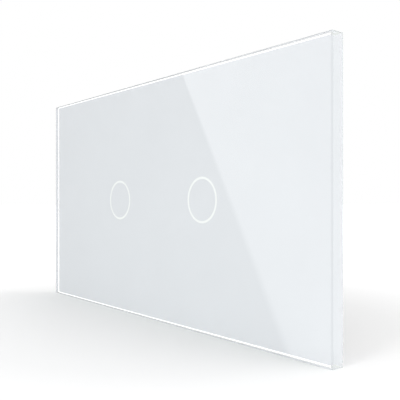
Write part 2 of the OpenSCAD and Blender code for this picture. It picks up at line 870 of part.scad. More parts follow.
module relay_yoke(side) {
    color("lightslategray") at_relay(side) {
        box(coil_u - coil_r, hinge_u + yoke_t / 2, -relay_base_t - yoke_t, -relay_base_t,
            -yoke_w / 2, yoke_w / 2);
        box(hinge_u - yoke_t / 2, hinge_u + yoke_t / 2, -yoke_top, -relay_base_t, -yoke_w / 2, yoke_w / 2);
        rod(coil_u, 0, core_r, -pole_top, -relay_base_t);
        rod(coil_u, 0, pole_r, -pole_top, -pole_top + yoke_t / 2);
        for (z = [-yoke_pin, yoke_pin])
            rod(hinge_u, z, pin_wire, -relay_base_t - eps, board_t + pin_through);
    }
}

module relay_coil(side) {
    low = relay_base_t + yoke_t;
    high = pole_top - yoke_t / 2;
    color("sienna") at_relay(side) translate([coil_u, 0, 0]) rotate([90, 0, 0]) rotate_extrude() polygon([
        [core_r + thread_gap, low], [coil_r, low], [coil_r, low + flange_t], [winding_r, low + flange_t],
        [winding_r, high - flange_t], [coil_r, high - flange_t], [coil_r, high], [core_r + thread_gap, high]
    ]);
}

// The armature rocks on a bead that lies on the top edge of the yoke and carries the moving contact
module relay_armature(side) {
    low = armature_low;
    color("silver") at_relay(side) {
        box(arm_u + arm_l, hinge_u + yoke_t / 2, -low - armature_t, -low, -armature_w / 2, armature_w / 2);
        box(arm_u, arm_u + arm_l + eps, -low - armature_t / 2, -low, -armature_w / 4, armature_w / 4);
        along_z(-armature_w / 2, armature_w / 2) translate([hinge_u, -yoke_top - hinge_r]) circle(hinge_r);
        rod(contact_u, 0, contact_r, -low - eps, -low + contact_t);
    }
}

module relay_contacts(side) {
    top = contact_top;
    half = strip_w / 2;
    color("peru") at_relay(side) {
        rod(contact_u, 0, contact_r, -top, -top + contact_t);
        box(stem_u - strip_metal / 2, contact_u + contact_r - strip_metal / 2,
            -top + contact_t - eps, -top + contact_t + strip_metal, -half, half);
        box(stem_u - strip_metal / 2, stem_u + strip_metal / 2, -top + contact_t, -relay_base_t, -half, half);
        rod(stem_u, 0, pin_wire, -relay_base_t - eps, board_t + pin_through);
        for (z = [-coil_pin, coil_pin])
            rod(coil_pin_u, z, pin_wire, -relay_base_t - lead_in, board_t + pin_through);
    }
}

module relay_case(side) {
    color([0.1, 0.2, 0.45]) at_relay(side) difference() {
        along_y(-relay_h, 0) rounded(relay_l, relay_w, relay_r);
        along_y(-relay_h + relay_wall, eps)
            rounded(relay_l - 2 * relay_wall, relay_w - 2 * relay_wall, relay_inner_r);
    }
}

// Screw terminals with rising cages. Wires come in from below, and the screws are reached from the back.
module terminal_block() {
    pocket = cage_w / 2 + cage_gap;
    pocket_floor = terminal_z - cage_h / 2 - small_gap;
    color("white") difference() {
        box(-block_w / 2, block_w / 2, y_block, y_floor, block_bottom, terminal_top);
        for (i = [1 : terminal_n]) translate([terminal_x(i), 0, 0]) {
            box(-pocket, pocket, y_cage - small_gap, y_shoulder, pocket_floor, terminal_top + past);
            along_z(block_bottom - eps, pocket_floor + eps)
                translate([0, (y_bar + y_cage_in) / 2]) circle(wire_d / 2);
            rod(0, terminal_z, terminal_screw_d / 2 + small_gap, y_shoulder - eps, y_head + eps);
            rod(0, terminal_z, access_r, y_head, y_floor + eps);
        }
    }
}

module terminal_bars() {
    color("gold") for (i = [1 : terminal_n]) translate([terminal_x(i), 0, 0]) {
        box(-bar_w / 2, bar_w / 2, y_bar, y_bar_back, terminal_z - cage_h / 2, tail_z + bar_t / 2);
        box(-tail_w / 2, tail_w / 2, y_bar, y_power_back + tail_proud,
            tail_z - bar_t / 2, tail_z + bar_t / 2);
    }
}

module terminal_cage(i) {
    color("gold") translate([terminal_x(i), 0, terminal_z]) difference() {
        box(-cage_w / 2, cage_w / 2, y_cage, y_nut + cage_nut, -cage_h / 2, cage_h / 2);
        box(-cage_w / 2 + cage_wall, cage_w / 2 - cage_wall, y_cage_in, y_nut, -cage_h, cage_h);
        rod(0, 0, terminal_screw_d / 2 + thread_gap, y_nut - eps, y_nut + cage_nut + eps);
    }
}

recess_w = 0.8;
recess_h = 1.1;
recess_l = 3.6;
module terminal_screw(i) {
    color("silver") translate([terminal_x(i), 0, terminal_z]) difference() {
        union() {
            rod(0, 0, terminal_screw_d / 2, y_bar_back, y_head + eps);
            rod(0, 0, head_r, y_head, y_head + head_h);
        }
        for (a = [0, 90]) rotate([0, a, 0])
            box(-recess_l / 2, recess_l / 2, y_head + head_h - recess_h, y_head + head_h + past,
                -recess_w / 2, recess_w / 2);
    }
}

// Rear housing
module rear_housing() {
    color([0.2, 0.2, 0.21]) difference() {
        union() {
            difference() {
                bevelled_slab(housing_w, housing_h, housing_r, y_seat, y_back, 0, housing_bevel);
                along_y(y_seat - past, y_floor) rounded(inner_w, inner_h, inner_r);
            }
            four() {
                rod(boss_x, boss_z, boss_r, y_seat, y_floor + eps);
                box(boss_x, inner_w / 2 + eps, y_seat, y_floor + eps, boss_z - web_t / 2, boss_z + web_t / 2);
                box(boss_x - web_t / 2, boss_x + web_t / 2, y_seat, y_floor + eps, boss_z, inner_h / 2 + eps);
                // Ribs that carry the sensor board's ends
                box(inner_w / 2 - rib_t, inner_w / 2 + eps, y_sensor_back, y_floor + eps,
                    rib_z - rib_l / 2, rib_z + rib_l / 2);
            }
            // Posts and pegs that carry the power board
            for (s = [-1, 1], z = power_posts_z) {
                rod(s * power_post_x, z, power_post_r, y_power_back, y_floor + eps);
                rod(s * power_post_x, z, power_peg_r, y_power - power_peg_h, y_power_back + eps);
            }
        }
        four() rod(boss_x, boss_z, housing_screw_d / 2 + thread_gap,
                   y_seat - eps, y_plate + screw_len + past);
        // Window for the terminal block, with holes to its screws
        box(-block_w / 2 - hole_gap, block_w / 2 + hole_gap, y_block - hole_gap, y_floor,
            -housing_h / 2 - past, -inner_h / 2 + past);
        for (i = [1 : terminal_n]) rod(terminal_x(i), terminal_z, access_r, y_floor - eps, y_back + eps);
        // Vents along the top
        for (i = [0 : vent_n - 1])
            translate([(i - (vent_n - 1) / 2) * vent_pitch, y_sensor_back + vent_drop, 0])
                box(-vent_w / 2, vent_w / 2, 0, vent_l, inner_h / 2 - past, housing_h / 2 + past);
        // Vents beside the terminals
        for (s = [-1, 1], i = [0 : low_vent_n - 1])
            translate([s * (low_vent_x + i * vent_pitch), y_sensor_back + vent_drop, 0])
                box(-vent_w / 2, vent_w / 2, 0, vent_l, -housing_h / 2 - past, -inner_h / 2 + past);
        // Shallow fields on the back: one left blank, one for the terminals' marks, and a gauge for bare wire
        along_y(y_back - recess_depth, y_back + eps) {
            translate([0, field_z]) rounded(field_size[0], field_size[1], field_r);
            translate([0, terminal_z + access_r + mark_lift + mark_h / 2]) rounded(block_w, mark_h, field_r);
            translate([gauge_x, gauge_z]) rounded(gauge_size[0], gauge_size[1], gauge_r);
        }
        // Seam between the two shells
        along_y(y_seat + seam_from_seat, y_seat + seam_from_seat + seam_w)
            band(housing_w + 2 * past, housing_h + 2 * past, housing_r + past, past + recess_depth);
    }
}

module housing_screws() {
    color("silver") four() translate([boss_x, y_plate, boss_z]) rotate([-90, 0, 0]) difference() {
        union() {
            cylinder(r1 = screw_head_r, r2 = housing_screw_d / 2, h = screw_head_h - small_gap);
            cylinder(r = housing_screw_d / 2, h = screw_len);
        }
        for (a = [0, 90]) rotate(a) translate([-cross_l / 2, -cross_w / 2, -past])
            cube([cross_l, cross_w, past + cross_h]);
    }
}

glass_plate();
back_print();
ring_windows();
panel_tape();
clip_frame();
snap_clips();
support_frame();
front_cover();
light_guide(-1);  // light_guide_left
light_guide(1);  // light_guide_right
touch_spring(-1);  // touch_spring_left
touch_spring(1);  // touch_spring_right
sensor_board();
status_leds();
touch_chips();
sensor_passives();
board_header();
header_pins();
board_socket();
power_board();
filter_capacitor();
smoothing_capacitors();
fuse();
varistor();
transformer_core();
transformer_winding();
rectifier();
relay_base(-1);  // relay_left_base
relay_coil(-1);  // relay_left_coil
relay_yoke(-1);  // relay_left_yoke
relay_armature(-1);  // relay_left_armature
relay_contacts(-1);  // relay_left_contacts
relay_case(-1);  // relay_left_case
relay_base(1);  // relay_right_base
relay_coil(1);  // relay_right_coil
relay_yoke(1);  // relay_right_yoke
relay_armature(1);  // relay_right_armature
relay_contacts(1);  // relay_right_contacts
relay_case(1);  // relay_right_case
terminal_block();
terminal_bars();
terminal_cage(1);  // terminal_cage_1
terminal_cage(2);  // terminal_cage_2
terminal_cage(3);  // terminal_cage_3
terminal_screw(1);  // terminal_screw_1
terminal_screw(2);  // terminal_screw_2
terminal_screw(3);  // terminal_screw_3
rear_housing();
housing_screws();
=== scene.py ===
# %% [markdown]
# # A touch light switch behind a glass panel
# The switch is packed as a CAD model with real sizes, and this lesson gives it its looks. Nothing
# is moved or resized here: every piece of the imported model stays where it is, and new pieces are
# laid on top of it. All lengths are in metres. X runs to the right, Y towards the wall and Z up, so
# the glass faces -Y.

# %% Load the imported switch
import math

import bmesh
import bpy
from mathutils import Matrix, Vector


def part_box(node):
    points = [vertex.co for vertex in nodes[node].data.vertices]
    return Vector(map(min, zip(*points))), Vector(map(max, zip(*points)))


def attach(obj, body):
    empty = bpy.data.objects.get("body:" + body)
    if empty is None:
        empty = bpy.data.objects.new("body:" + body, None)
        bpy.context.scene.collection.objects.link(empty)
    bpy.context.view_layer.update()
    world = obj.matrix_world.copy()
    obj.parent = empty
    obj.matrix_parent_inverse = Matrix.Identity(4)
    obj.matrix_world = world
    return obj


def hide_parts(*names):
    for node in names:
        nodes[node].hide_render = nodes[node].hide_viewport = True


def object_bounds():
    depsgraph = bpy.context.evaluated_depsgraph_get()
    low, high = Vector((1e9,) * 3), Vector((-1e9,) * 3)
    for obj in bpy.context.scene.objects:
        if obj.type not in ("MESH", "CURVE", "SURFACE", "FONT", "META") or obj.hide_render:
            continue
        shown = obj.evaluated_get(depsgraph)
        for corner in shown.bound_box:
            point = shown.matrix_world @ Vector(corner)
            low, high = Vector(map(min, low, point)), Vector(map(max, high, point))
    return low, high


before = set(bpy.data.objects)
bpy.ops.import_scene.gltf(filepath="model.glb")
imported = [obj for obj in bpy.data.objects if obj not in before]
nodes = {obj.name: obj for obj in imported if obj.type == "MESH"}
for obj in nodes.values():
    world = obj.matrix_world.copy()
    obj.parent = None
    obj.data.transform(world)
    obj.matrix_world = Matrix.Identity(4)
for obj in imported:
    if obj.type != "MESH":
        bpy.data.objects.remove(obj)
cad_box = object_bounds()
scene = bpy.context.scene
scene.view_settings.view_transform = "Standard"
MM = 0.001

# %% [markdown]
# ## Camera
# The picture was taken level with the middle of the plate, close to its right end, so the plate
# shrinks strongly towards the left. Such a view could be set by eye, but place and lens can be
# worked out too: the plate's upper and lower edges meet far out on the left, at half height, and
# the width and the two heights of the plate in a picture of 400 x 400 leave only one place to
# stand.

# %% Camera
UP = Vector((0, 0, 1))
EYE = Vector((0.16565, -0.12071, 0.0))
LOOK = Vector((-0.7852, 0.6192, 0.0)).normalized()
RIGHT = LOOK.cross(UP)
LENS = 53.57
SENSOR = 36.0
NEAREST = 10 * MM
HALF_PICTURE = 200
FOCAL_PIXELS = 2 * HALF_PICTURE * LENS / SENSOR
camera_data = bpy.data.cameras.new("photo_camera")
camera_data.sensor_width = SENSOR
camera_data.lens = LENS
camera_data.clip_start = NEAREST
camera = bpy.data.objects.new("photo_camera", camera_data)
camera.location = EYE
camera.rotation_euler = LOOK.to_track_quat("-Z", "Y").to_euler()
scene.collection.objects.link(camera)
scene.camera = camera
print("camera", tuple(round(v, 4) for v in EYE), "lens", LENS)

# %% [markdown]
# ## Helpers for shader nodes
# Materials are built from nodes in code. One helper adds a node and fills its inputs: a plain value
# is set on the socket itself, and another node's output is linked to it. Small ones on top of it do
# a sum, mix two colours or start a material and hand back its Principled shader, so that the
# recipes further down stay short.

# %% Node helpers
def fill(tree, socket, value):
    if isinstance(value, bpy.types.NodeSocket):
        tree.links.new(value, socket)
    else:
        socket.default_value = value


def add(tree, kind, inputs=None, **settings):
    node = tree.nodes.new("ShaderNode" + kind)
    for name, value in settings.items():
        setattr(node, name, value)
    for key, value in (inputs or {}).items():
        fill(tree, node.inputs[key], value)
    return node


def calc(tree, operation, *values):
    return add(tree, "Math", dict(enumerate(values)), operation=operation).outputs[0]


def spread(tree, value, low, high, start=0.0, end=1.0):
    """Maps low..high to start..end and stops there."""
    inputs = {0: value, 1: low, 2: high, 3: start, 4: end}
    return add(tree, "MapRange", inputs, clamp=True).outputs[0]


def either(tree, mask, one, two):
    """One value where the mask is 0, the other where it's 1."""
    return add(tree, "Mix", {0: mask, 2: one, 3: two}, data_type="FLOAT").outputs[0]


def mixed(tree, mask, one, two):
    """One colour where the mask is 0, the other where it's 1."""
    return add(tree, "Mix", {0: mask, 6: one, 7: two}, data_type="RGBA").outputs[2]


def shaded(tree, colour, tone):
    """A colour times a value that changes over the surface."""
    inputs = {0: 1.0, 6: colour, 7: tone}
    return add(tree, "Mix", inputs, data_type="RGBA", blend_type="MULTIPLY").outputs[2]


print("helpers for nodes")

# %% Material helpers
def new_finish(name, **sockets):
    material = bpy.data.materials.new(name)
    material.use_nodes = True
    tree = material.node_tree
    shader = tree.nodes["Principled BSDF"]
    for key, value in sockets.items():
        shader.inputs[key.replace("_", " ")].default_value = value
    return material, tree, shader


def dress(material, *names):
    """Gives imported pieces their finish."""
    for name in names:
        nodes[name].data.materials.clear()
        nodes[name].data.materials.append(material)


print("helpers for materials")

# %% [markdown]
# ## Studio
# The switch stands on a white floor in front of white. Paper and large lamps could be built for
# that. Here the world does it, because its shader can ask the Light Path node who is looking: the
# camera sees plain white, rays that light the switch see a soft, even sky, so that the white
# background adds no light, and rays that gloss and glass send out see a studio.
#
# The glass mirrors the edge of a large bright window: left of a slanted line the room is dim, right
# of it it's bright. A card could stand in the room for that, but then it would also light the
# floor. Instead, the studio is bright on one side of a plane through the camera's mirror image,
# which two points of that line give.

# %% Where the camera's mirror image looks
WINDOW_EDGE = ((183, 76), (285, 345))
IN_WINDOW = (320, 200)
GLASS_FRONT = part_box("glass_plate")[0].y
MIRRORED_EYE = Vector((EYE.x, 2 * GLASS_FRONT - EYE.y, EYE.z))


def mirrored_way(px, py):
    """Where the glass sends the camera's look at a pixel, from the camera's mirror image."""
    right, up = (px - HALF_PICTURE) / FOCAL_PIXELS, (HALF_PICTURE - py) / FOCAL_PIXELS
    ray = LOOK + RIGHT * right + UP * up
    spot = EYE + ray * ((GLASS_FRONT - EYE.y) / ray.y)
    return (spot - MIRRORED_EYE).normalized()


edge_top, edge_low = (mirrored_way(*pixel) for pixel in WINDOW_EDGE)
across_edge = edge_top.cross(edge_low).normalized()
if across_edge.dot(mirrored_way(*IN_WINDOW)) < 0:
    across_edge = -across_edge
print("the window's edge runs across", tuple(round(v, 3) for v in across_edge))

# %% [markdown]
# ### What gloss and glass see
# In front are the window, which ends far to the left, and the dim room. Behind is a white backdrop
# with a softbox on the right, which the side of the glass mirrors. Steeply up and down on the left
# it's nearly dark, and that draws the polished arris of the glass as a thin grey line. The clear
# margin round the print is about a pixel wide, so rays that pass the glass see the backdrop
# brighter than white, to make a clean white line. A softbox and dark cards could stand there as
# objects, but they would shade and light the rest as well.

# %% The studio's front and back
DIM_ROOM, WINDOW = 0.40, 1.70
WINDOW_END = (-0.30, -0.50)
EDGE_BLUR = (0.007, 0.002)
SIDE_BOX, SIDE_BOX_FROM = 1.7, (0.30, 0.50)
BACKDROP, BACKDROP_FROM = 1.7, (-0.05, 0.05)
DARK, DARK_LEFT, DARK_STEEP = 0.05, (0.1, -0.1), (0.30, 0.38)
world = bpy.data.worlds.new("white_studio")
scene.world = world
world.use_nodes = True
tree = world.node_tree
tree.nodes.clear()
path = add(tree, "LightPath").outputs
glossy, through = path["Is Glossy Ray"], path["Is Transmission Ray"]
way = add(tree, "TexCoord").outputs["Generated"]
to = add(tree, "SeparateXYZ", {0: way}).outputs
beside = add(tree, "VectorMath", {0: way, 1: across_edge}, operation="DOT_PRODUCT")
blur = spread(tree, to["Z"], edge_low.z, edge_top.z, *EDGE_BLUR)
bright_side = spread(tree, calc(tree, "DIVIDE", beside.outputs["Value"], blur), -1.0, 1.0)
window = calc(tree, "MULTIPLY", bright_side, spread(tree, to["X"], *WINDOW_END))
front = either(tree, window, DIM_ROOM, WINDOW)
side_box = calc(tree, "MULTIPLY", glossy, spread(tree, to["X"], *SIDE_BOX_FROM))
behind = either(tree, side_box, either(tree, through, 1.0, BACKDROP), SIDE_BOX)
studio = either(tree, spread(tree, to["Y"], *BACKDROP_FROM), front, behind)
leftward = calc(tree, "MULTIPLY", glossy, spread(tree, to["X"], *DARK_LEFT))
steep = spread(tree, calc(tree, "ABSOLUTE", to["Z"]), *DARK_STEEP)
studio = either(tree, calc(tree, "MULTIPLY", leftward, steep), studio, DARK)
print("window", WINDOW, "room", DIM_ROOM, "side box", SIDE_BOX)

# %% [markdown]
# ### Who sees what
# Some rays are thrown to and fro between the polished edges of the glass. Blender gives up on a ray
# after a number of bounces and shows black. A higher number would be slow, so rays that bounced
# often are let out, here into a light grey. The world counts a ray one bounce further than a
# surface does.

# %% World
SKY_LIGHT = 0.86
TRAPPED, LET_OUT = 2.5, 0.8
WHITE = (1, 1, 1, 1)
often = calc(tree, "GREATER_THAN", path["Ray Depth"], TRAPPED + 1)
studio = either(tree, often, studio, LET_OUT)
mirrored = calc(tree, "MAXIMUM", glossy, through)
strength = either(tree, path["Is Camera Ray"], either(tree, mirrored, SKY_LIGHT, studio), 1.0)
sky = add(tree, "Background", {"Color": WHITE, "Strength": strength})
add(tree, "OutputWorld", {"Surface": sky.outputs[0]})
print("world lights at", SKY_LIGHT, "and shows white")

# %% [markdown]
# ## Floor
# The floor is a wide matt sheet, which keeps the shadow of the switch. Far from the switch it fades
# into the white of the background for the camera, and straight through glass it's white as well.
# Rays that were mirrored inside the glass see it greyer, as they see the studio. Near the switch it
# throws back a little more light than it gets, as a reflector on the table would, which keeps the
# lower half of the plate as bright as the upper.
#
# The sheet lies a hair below the glass: where it touched, the lower edge of the glass would look
# into the floor instead of mirroring, as a real edge does over its film of air.

# %% Floor
FLOOR_GAP = 0.05 * MM
FLOOR_Z = cad_box[0][2] - FLOOR_GAP
FLOOR_HALF = 4.0
FLOOR_FADE = (0.08, 0.60)
FLOOR_WHITE, FLOOR_MIRRORED = (0.8, 0.8, 0.8, 1), (0.55, 0.55, 0.55, 1)
BOUNCE, BOUNCE_REACH = 0.22, (0.05, 0.20)
CORNERS = [(-1, -1), (1, -1), (1, 1), (-1, 1)]
floor_mesh = bpy.data.meshes.new("studio_floor")
corners = [(x * FLOOR_HALF, y * FLOOR_HALF, FLOOR_Z) for x, y in CORNERS]
floor_mesh.from_pydata(corners, [], [(0, 1, 2, 3)])
floor = bpy.data.objects.new("studio_floor", floor_mesh)
scene.collection.objects.link(floor)
floor.visible_glossy = False
print("floor at", round(FLOOR_Z, 4))

# %% Floor finish
material = bpy.data.materials.new("studio_white")
material.use_nodes = True
tree = material.node_tree
tree.nodes.clear()
path = add(tree, "LightPath").outputs
spot = add(tree, "TexCoord").outputs["Object"]
far = add(tree, "VectorMath", {0: spot}, operation="LENGTH").outputs["Value"]
plain = calc(tree, "MULTIPLY", path["Is Camera Ray"], spread(tree, far, *FLOOR_FADE))
through = path["Is Transmission Ray"]
straight = calc(tree, "LESS_THAN", path["Ray Depth"], TRAPPED)
lift = calc(tree, "MAXIMUM", plain, calc(tree, "MULTIPLY", through, straight))
often = calc(tree, "MULTIPLY", through, calc(tree, "SUBTRACT", 1.0, straight))
near = spread(tree, far, *BOUNCE_REACH, BOUNCE, 0.0)
bounce = calc(tree, "MULTIPLY", path["Is Diffuse Ray"], near)
glow = add(tree, "Emission", {"Color": WHITE, "Strength": calc(tree, "ADD", lift, bounce)})
matt = add(tree, "BsdfDiffuse", {"Color": mixed(tree, often, FLOOR_WHITE, FLOOR_MIRRORED)})
both = add(tree, "AddShader", {0: matt.outputs[0], 1: glow.outputs[0]})
add(tree, "OutputMaterial", {"Surface": both.outputs[0]})
floor_mesh.materials.append(material)
print("floor finish", material.name)

# %% [markdown]
# ## Lamps
# Three softboxes light the switch: one in front, a large one behind it on the right, whose shadow
# falls forwards and to the left, and a weak one behind on the left for the rims. Glowing meshes
# would do, but area lamps give less noise, and they can be hidden from the camera, from gloss and
# from glass.

# %% Lamps
def soft_lamp(name, spot, size, watts):
    data = bpy.data.lights.new(name, "AREA")
    data.size = size
    data.energy = watts
    lamp = bpy.data.objects.new(name, data)
    lamp.location = spot
    lamp.rotation_euler = (-Vector(spot)).to_track_quat("-Z", "Y").to_euler()
    scene.collection.objects.link(lamp)
    lamp.visible_camera = lamp.visible_glossy = lamp.visible_transmission = False
    print("lamp", name, watts, "W")


soft_lamp("front_softbox", (0.17, -0.98, 0.57), 0.4, 3.0)
soft_lamp("back_softbox", (0.57, 0.48, 0.88), 1.0, 6.0)
soft_lamp("rim_softbox", (-0.76, 0.64, 0.57), 0.5, 1.3)

# %% [markdown]
# ## Effects that several finishes share
# Moulded plastic, worn edges, dust and drawn metal turn up on many pieces, so each is built once as
# a node group with named inputs and outputs, and placed in every material that needs it with values
# of its own. A group only puts out heights, tones, masks and normals. The shader that uses them
# stays in the material.

# %% A group and how to place it
def node_group(name, inputs, outputs):
    tree = bpy.data.node_groups.new(name, "ShaderNodeTree")
    for label, value in inputs.items():
        socket = tree.interface.new_socket(label, in_out="INPUT", socket_type="NodeSocketFloat")
        socket.default_value = value
    for label, kind in outputs.items():
        tree.interface.new_socket(label, in_out="OUTPUT", socket_type="NodeSocket" + kind)
    given = tree.nodes.new("NodeGroupInput").outputs
    result = tree.nodes.new("NodeGroupOutput").inputs
    return tree, given, result


def place(tree, group, **values):
    node = tree.nodes.new("ShaderNodeGroup")
    node.node_tree = group
    for key, value in values.items():
        fill(tree, node.inputs[key], value)
    return node.outputs


print("helpers for node groups")

# %% Where a spot lies, which way it faces, and chance
NOISE_RANGE = (0.3, 0.7)


def spots(tree):
    """The piece's own coordinates, which move with it, whole and as X, Y and Z."""
    whole = add(tree, "TexCoord").outputs["Object"]
    return whole, add(tree, "SeparateXYZ", {0: whole}).outputs


def facing(tree, axis):
    """How far the surface faces along an axis, from -1 to 1."""
    normal = add(tree, "NewGeometry").outputs["Normal"]
    return add(tree, "SeparateXYZ", {0: normal}).outputs[axis]


def distance(tree, value, middle):
    return calc(tree, "ABSOLUTE", calc(tree, "SUBTRACT", value, middle))


def noise(tree, where, scale, detail):
    inputs = {"Vector": where, "Scale": scale, "Detail": detail}
    return add(tree, "TexNoise", inputs).outputs["Fac"]


def swing(tree, value, low, high):
    """Spreads the range that a noise mostly keeps to over low..high."""
    return spread(tree, value, *NOISE_RANGE, low, high)


print("helpers for places and noise")

# %% [markdown]
# ### Moulded skin
# A mould for such plastic is spark-eroded, which leaves grains of a few tenths of a millimetre, and
# the plastic flows and shrinks a little unevenly behind it. Two noises, one fine and one slow, give
# both.

# %% Moulded skin
SKIN, given, result = node_group(
    "moulded_skin", {"Grain": 2400.0, "Flow": 70.0},
    {"Height": "Float", "Gloss": "Float", "Tone": "Float"})
where = spots(SKIN)[0]
fine = noise(SKIN, where, given["Grain"], 3.0)
slow = noise(SKIN, where, given["Flow"], 1.0)
gloss = calc(SKIN, "ADD", swing(SKIN, fine, -0.05, 0.05), swing(SKIN, slow, -0.06, 0.06))
tone = calc(SKIN, "MULTIPLY", swing(SKIN, fine, 0.985, 1.015), swing(SKIN, slow, 0.97, 1.0))
SKIN.links.new(fine, result["Height"])
SKIN.links.new(gloss, result["Gloss"])
SKIN.links.new(tone, result["Tone"])
print("group", SKIN.name)

# %% [markdown]
# ### Worn edges
# Hands and assembly rub the edges of a part first. The Bevel node knows where edges are: its normal
# turns away from the surface's own normal there. How far the two differ is the mask, broken up by a
# noise, and the turned normal itself also makes a sharp CAD edge catch the light.

# %% Worn edges
EDGE_TURN = (0.99, 0.80)
PATCH_RANGE, PATCH_LEAST = (0.35, 0.65), 0.35
EDGES, given, result = node_group(
    "worn_edges", {"Width": 0.2 * MM, "Patches": 900.0}, {"Mask": "Float", "Normal": "Vector"})
where = spots(EDGES)[0]
turned = add(EDGES, "Bevel", {"Radius": given["Width"]}, samples=6).outputs[0]
own = add(EDGES, "NewGeometry").outputs["Normal"]
agree = add(EDGES, "VectorMath", {0: turned, 1: own}, operation="DOT_PRODUCT").outputs["Value"]
near = spread(EDGES, agree, *EDGE_TURN)
patchy = spread(EDGES, noise(EDGES, where, given["Patches"], 4.0), *PATCH_RANGE, PATCH_LEAST, 1.0)
EDGES.links.new(calc(EDGES, "MULTIPLY", near, patchy), result["Mask"])
EDGES.links.new(turned, result["Normal"])
print("group", EDGES.name)

# %% [markdown]
# ### Settled dust
# Dust lies on what faces up. The surface's normal says how far up it faces, and a fine noise makes
# specks.

# %% Settled dust
SPECKS, SPECK_RANGE = 1800.0, (0.42, 0.68)
FACING_UP = (0.4, 0.95)
DUST, given, result = node_group("settled_dust", {"Amount": 0.1}, {"Mask": "Float"})
specks = spread(DUST, noise(DUST, spots(DUST)[0], SPECKS, 5.0), *SPECK_RANGE)
lying = calc(DUST, "MULTIPLY", spread(DUST, facing(DUST, "Z"), *FACING_UP), specks)
DUST.links.new(calc(DUST, "MULTIPLY", lying, given["Amount"]), result["Mask"])
print("group", DUST.name)

# %% [markdown]
# ### Drawn metal
# Strip, wire and screws are rolled, drawn or turned, which leaves fine lines along one way. A noise
# that is pulled out along that way makes such lines, and a slow noise lets the plating vary.

# %% Drawn metal
PLATING = 260.0
DRAWN, given, result = node_group(
    "drawn_metal", {"Lines": 6000.0, "Pull": 0.04},
    {"Height": "Float", "Gloss": "Float", "Tone": "Float"})
where, parts = spots(DRAWN)
along = calc(DRAWN, "MULTIPLY", parts["X"], given["Pull"])
pulled = add(DRAWN, "CombineXYZ", {0: along, 1: parts["Y"], 2: parts["Z"]}).outputs[0]
lines = noise(DRAWN, pulled, given["Lines"], 2.0)
slow = noise(DRAWN, where, PLATING, 2.0)
gloss = calc(DRAWN, "ADD", swing(DRAWN, lines, -0.06, 0.06), swing(DRAWN, slow, -0.05, 0.08))
DRAWN.links.new(lines, result["Height"])
DRAWN.links.new(gloss, result["Gloss"])
DRAWN.links.new(swing(DRAWN, slow, 0.92, 1.0), result["Tone"])
print("group", DRAWN.name)

# %% [markdown]
# ## Two recipes
# Nearly all pieces behind the glass are moulded plastic or plated metal. One function makes each
# kind from its colour and roughness, so that a finish is one line later on. Small masks by place
# turn a part's leads to tin.

# %% Plastic
DUST_COLOUR = (0.62, 0.60, 0.57, 1)
DUST_AMOUNT, DUST_DULLS = 0.05, 0.3
PLASTIC_EDGE = 0.2 * MM
WORN_LIGHTER = 0.35


def lighter(colour):
    return tuple(c + (1 - c) * WORN_LIGHTER for c in colour) + (1,)


def moulded(name, colour, roughness, grain=2400.0, depth=3e-6, wear=0.25, **sockets):
    material, tree, shader = new_finish(name, **sockets)
    skin = place(tree, SKIN, Grain=grain)
    rim = place(tree, EDGES, Width=PLASTIC_EDGE)
    lying = place(tree, DUST, Amount=DUST_AMOUNT)["Mask"]
    tint = shaded(tree, colour + (1,), skin["Tone"])
    tint = mixed(tree, calc(tree, "MULTIPLY", rim["Mask"], wear), tint, lighter(colour))
    tint = mixed(tree, lying, tint, DUST_COLOUR)
    rough = calc(tree, "ADD", skin["Gloss"], roughness)
    rough = calc(tree, "ADD", rough, calc(tree, "MULTIPLY", lying, DUST_DULLS))
    bump = add(tree, "Bump", {"Height": skin["Height"], "Distance": depth, "Normal": rim["Normal"]})
    fill(tree, shader.inputs["Base Color"], tint)
    fill(tree, shader.inputs["Roughness"], rough)
    fill(tree, shader.inputs["Normal"], bump.outputs[0])
    return material, tree, shader


print("recipe for plastic")

# %% Metal
METAL_EDGE, METAL_WEAR = 0.12 * MM, 0.5
LINE_DEPTH = 1e-6


def plated(name, colour, roughness, lines=6000.0, pull=0.04):
    material, tree, shader = new_finish(name, Metallic=1.0)
    marks = place(tree, DRAWN, Lines=lines, Pull=pull)
    rim = place(tree, EDGES, Width=METAL_EDGE)
    tint = shaded(tree, colour + (1,), marks["Tone"])
    tint = mixed(tree, calc(tree, "MULTIPLY", rim["Mask"], METAL_WEAR), tint, lighter(colour))
    lines_drawn = {"Height": marks["Height"], "Distance": LINE_DEPTH, "Normal": rim["Normal"]}
    bump = add(tree, "Bump", lines_drawn)
    fill(tree, shader.inputs["Base Color"], tint)
    fill(tree, shader.inputs["Roughness"], calc(tree, "ADD", marks["Gloss"], roughness))
    fill(tree, shader.inputs["Normal"], bump.outputs[0])
    return material, tree, shader


print("recipe for metal")

# %% A second finish where a mask says so
TIN = (0.72, 0.72, 0.70, 1)
TIN_ROUGHNESS = 0.3


def patch(tree, shader, mask, colour, roughness=None, metal=False):
    tint = shader.inputs["Base Color"].links[0].from_socket
    fill(tree, shader.inputs["Base Color"], mixed(tree, mask, tint, colour))
    if roughness is not None:
        rough = shader.inputs["Roughness"].links[0].from_socket
        fill(tree, shader.inputs["Roughness"], either(tree, mask, rough, roughness))
    if metal:
        fill(tree, shader.inputs["Metallic"], mask)


def tinned_leads(finish, limit):
    """Everything behind y = limit is a lead."""
    material, tree, shader = finish
    lead = calc(tree, "GREATER_THAN", spots(tree)[1]["Y"], limit)
    patch(tree, shader, lead, TIN, TIN_ROUGHNESS, metal=True)
    return material


print("recipe for tinned leads")

# %% [markdown]
# ## Glass
# The plate is 4 mm float glass with a polished front edge. A see-through shell with a faked green
# edge could do for it, but real glass is simpler: full transmission, a refractive index of 1.5, and
# a little absorption in its volume, which tints the longer ways through it green as float glass is
# tinted. Light from the lamps should reach the print behind it without the noise of caustics, so
# for shadow and diffuse rays the glass is plain transparent, and so it is for rays that bounced
# often inside it. A few faint smears, as fingers and a cloth leave them, live in the roughness.

